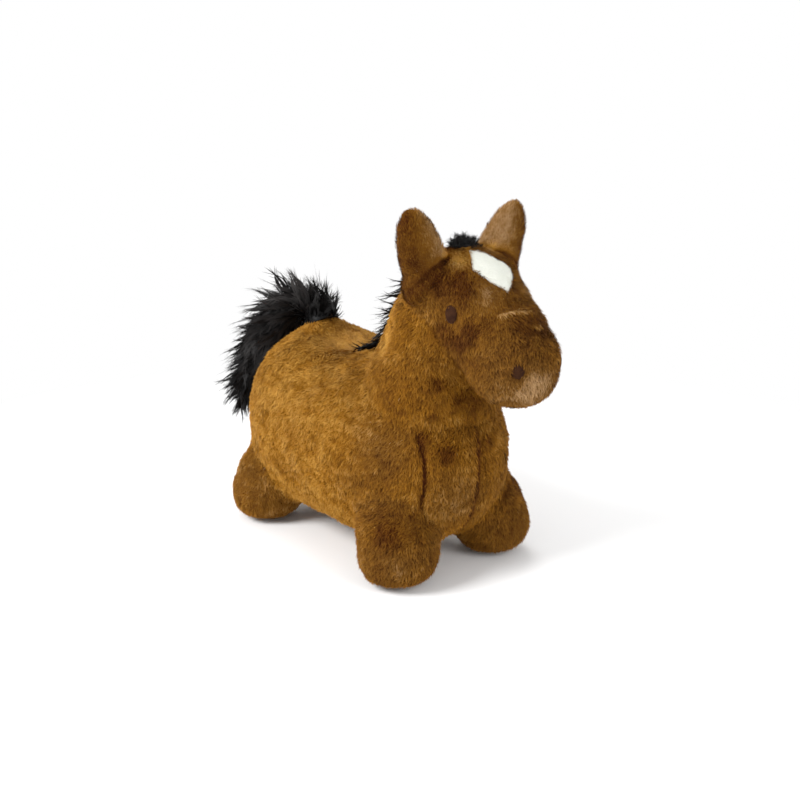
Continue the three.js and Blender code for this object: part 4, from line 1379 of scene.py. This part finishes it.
class HOPPER_OT_stage(Piece):
    """Make the camera, the lamps and the floor"""
    bl_idname = "hopper.stage"
    bl_label = "Studio"

    def make(self, hopper):
        stage = hopper.stage
        scene = bpy.context.scene
        scene.view_settings.view_transform = "Standard"
        azimuth, elevation = math.radians(AZIMUTH), math.radians(ELEVATION)
        back = Vector((math.sin(azimuth) * math.cos(elevation),
                       -math.cos(azimuth) * math.cos(elevation), math.sin(elevation)))
        camera = bpy.data.objects.new("camera", bpy.data.cameras.new("camera"))
        scene.collection.objects.link(camera)
        camera.location = Vector(LOOK_AT) + back * CAMERA_AWAY
        camera.rotation_mode = "QUATERNION"
        camera.rotation_quaternion = (-back).to_track_quat("-Z", "Y")
        camera.data.lens, camera.data.sensor_width = stage.lens, 36
        scene.camera = camera

        for name, place, width, share in LAMPS:
            lamp = bpy.data.lights.new(name, "AREA")
            lamp.energy, lamp.size, lamp.shape = stage.key * share, width, "DISK"
            held = bpy.data.objects.new(name, lamp)
            scene.collection.objects.link(held)
            held.location = place
            towards = Vector((0, 0, 0.2)) - held.location
            held.rotation_euler = towards.to_track_quat("-Z", "Y").to_euler()

        bm = bmesh.new()
        bmesh.ops.create_grid(bm, x_segments=1, y_segments=1, size=60)
        floor = make_object("floor", to_mesh(bm, "floor"))
        made, tree = material("floor", **{"Roughness": 0.9, "Base Color": (0.96, 0.96, 0.96, 1)})
        away = tree.spread(tree.vector("LENGTH", tree.place()).other("Value"), 0.35, 1.1)
        seen = tree.add("ShaderNodeLightPath") * away
        white = tree.add("ShaderNodeEmission", {}, {"Color": (1, 1, 1, 1), "Strength": 1.0})
        grey = Wire(tree, tree.shader.outputs[0])
        both = tree.add("ShaderNodeMixShader", {}, {0: seen, 1: grey, 2: white})
        tree.tree.links.new(both.socket, tree.tree.nodes["Material Output"].inputs["Surface"])
        floor.data.materials.append(made)

        world = bpy.data.worlds.new("room")
        world.use_nodes = True
        world.node_tree.nodes.clear()
        room = Tree(world.node_tree)
        path = room.add("ShaderNodeLightPath")
        seen = path.maths("MAXIMUM", path, path.other("Is Glossy Ray"))
        seen = seen.maths("MAXIMUM", seen, path.other("Is Transmission Ray"))
        dim = room.add("ShaderNodeBackground", {}, {"Color": (1, 1, 1, 1), "Strength": stage.world})
        bright = room.add("ShaderNodeBackground", {}, {"Color": (1, 1, 1, 1), "Strength": 1.0})
        both = room.add("ShaderNodeMixShader", {}, {0: seen, 1: dim, 2: bright})
        room.add("ShaderNodeOutputWorld", {}, {"Surface": both})
        scene.world = world


OPERATORS = (HOPPER_OT_cover, HOPPER_OT_tail, HOPPER_OT_mane, HOPPER_OT_forelock, HOPPER_OT_eyes,
             HOPPER_OT_nostrils, HOPPER_OT_zip, HOPPER_OT_bladder, HOPPER_OT_valve, HOPPER_OT_stage)


class HOPPER_PT_sidebar(bpy.types.Panel):
    """The hopper's pieces, each with the sizes and colours that shape it"""
    bl_idname = "HOPPER_PT_sidebar"
    bl_label = "Plush Bouncy Hopper"
    bl_space_type = "VIEW_3D"
    bl_region_type = "UI"
    bl_category = "Hopper"

    def draw(self, context):
        hopper = context.scene.hopper
        for name, group in GROUPS.items():
            box = self.layout.box()
            box.label(text=name.title())
            for prop in group.__annotations__:
                box.prop(getattr(hopper, name), prop)
        for operator in OPERATORS:
            self.layout.operator(operator.bl_idname)


CLASSES = (*GROUPS.values(), HopperSettings, *OPERATORS, HOPPER_PT_sidebar)


def register():
    for kind in CLASSES:
        bpy.utils.register_class(kind)
    bpy.types.Scene.hopper = bpy.props.PointerProperty(type=HopperSettings)


def unregister():
    del bpy.types.Scene.hopper
    for kind in reversed(CLASSES):
        bpy.utils.unregister_class(kind)


def main():
    register()
    for operator in OPERATORS:
        group, name = operator.bl_idname.split(".")
        getattr(getattr(bpy.ops, group), name)()


if __name__ == "__main__":
    main()
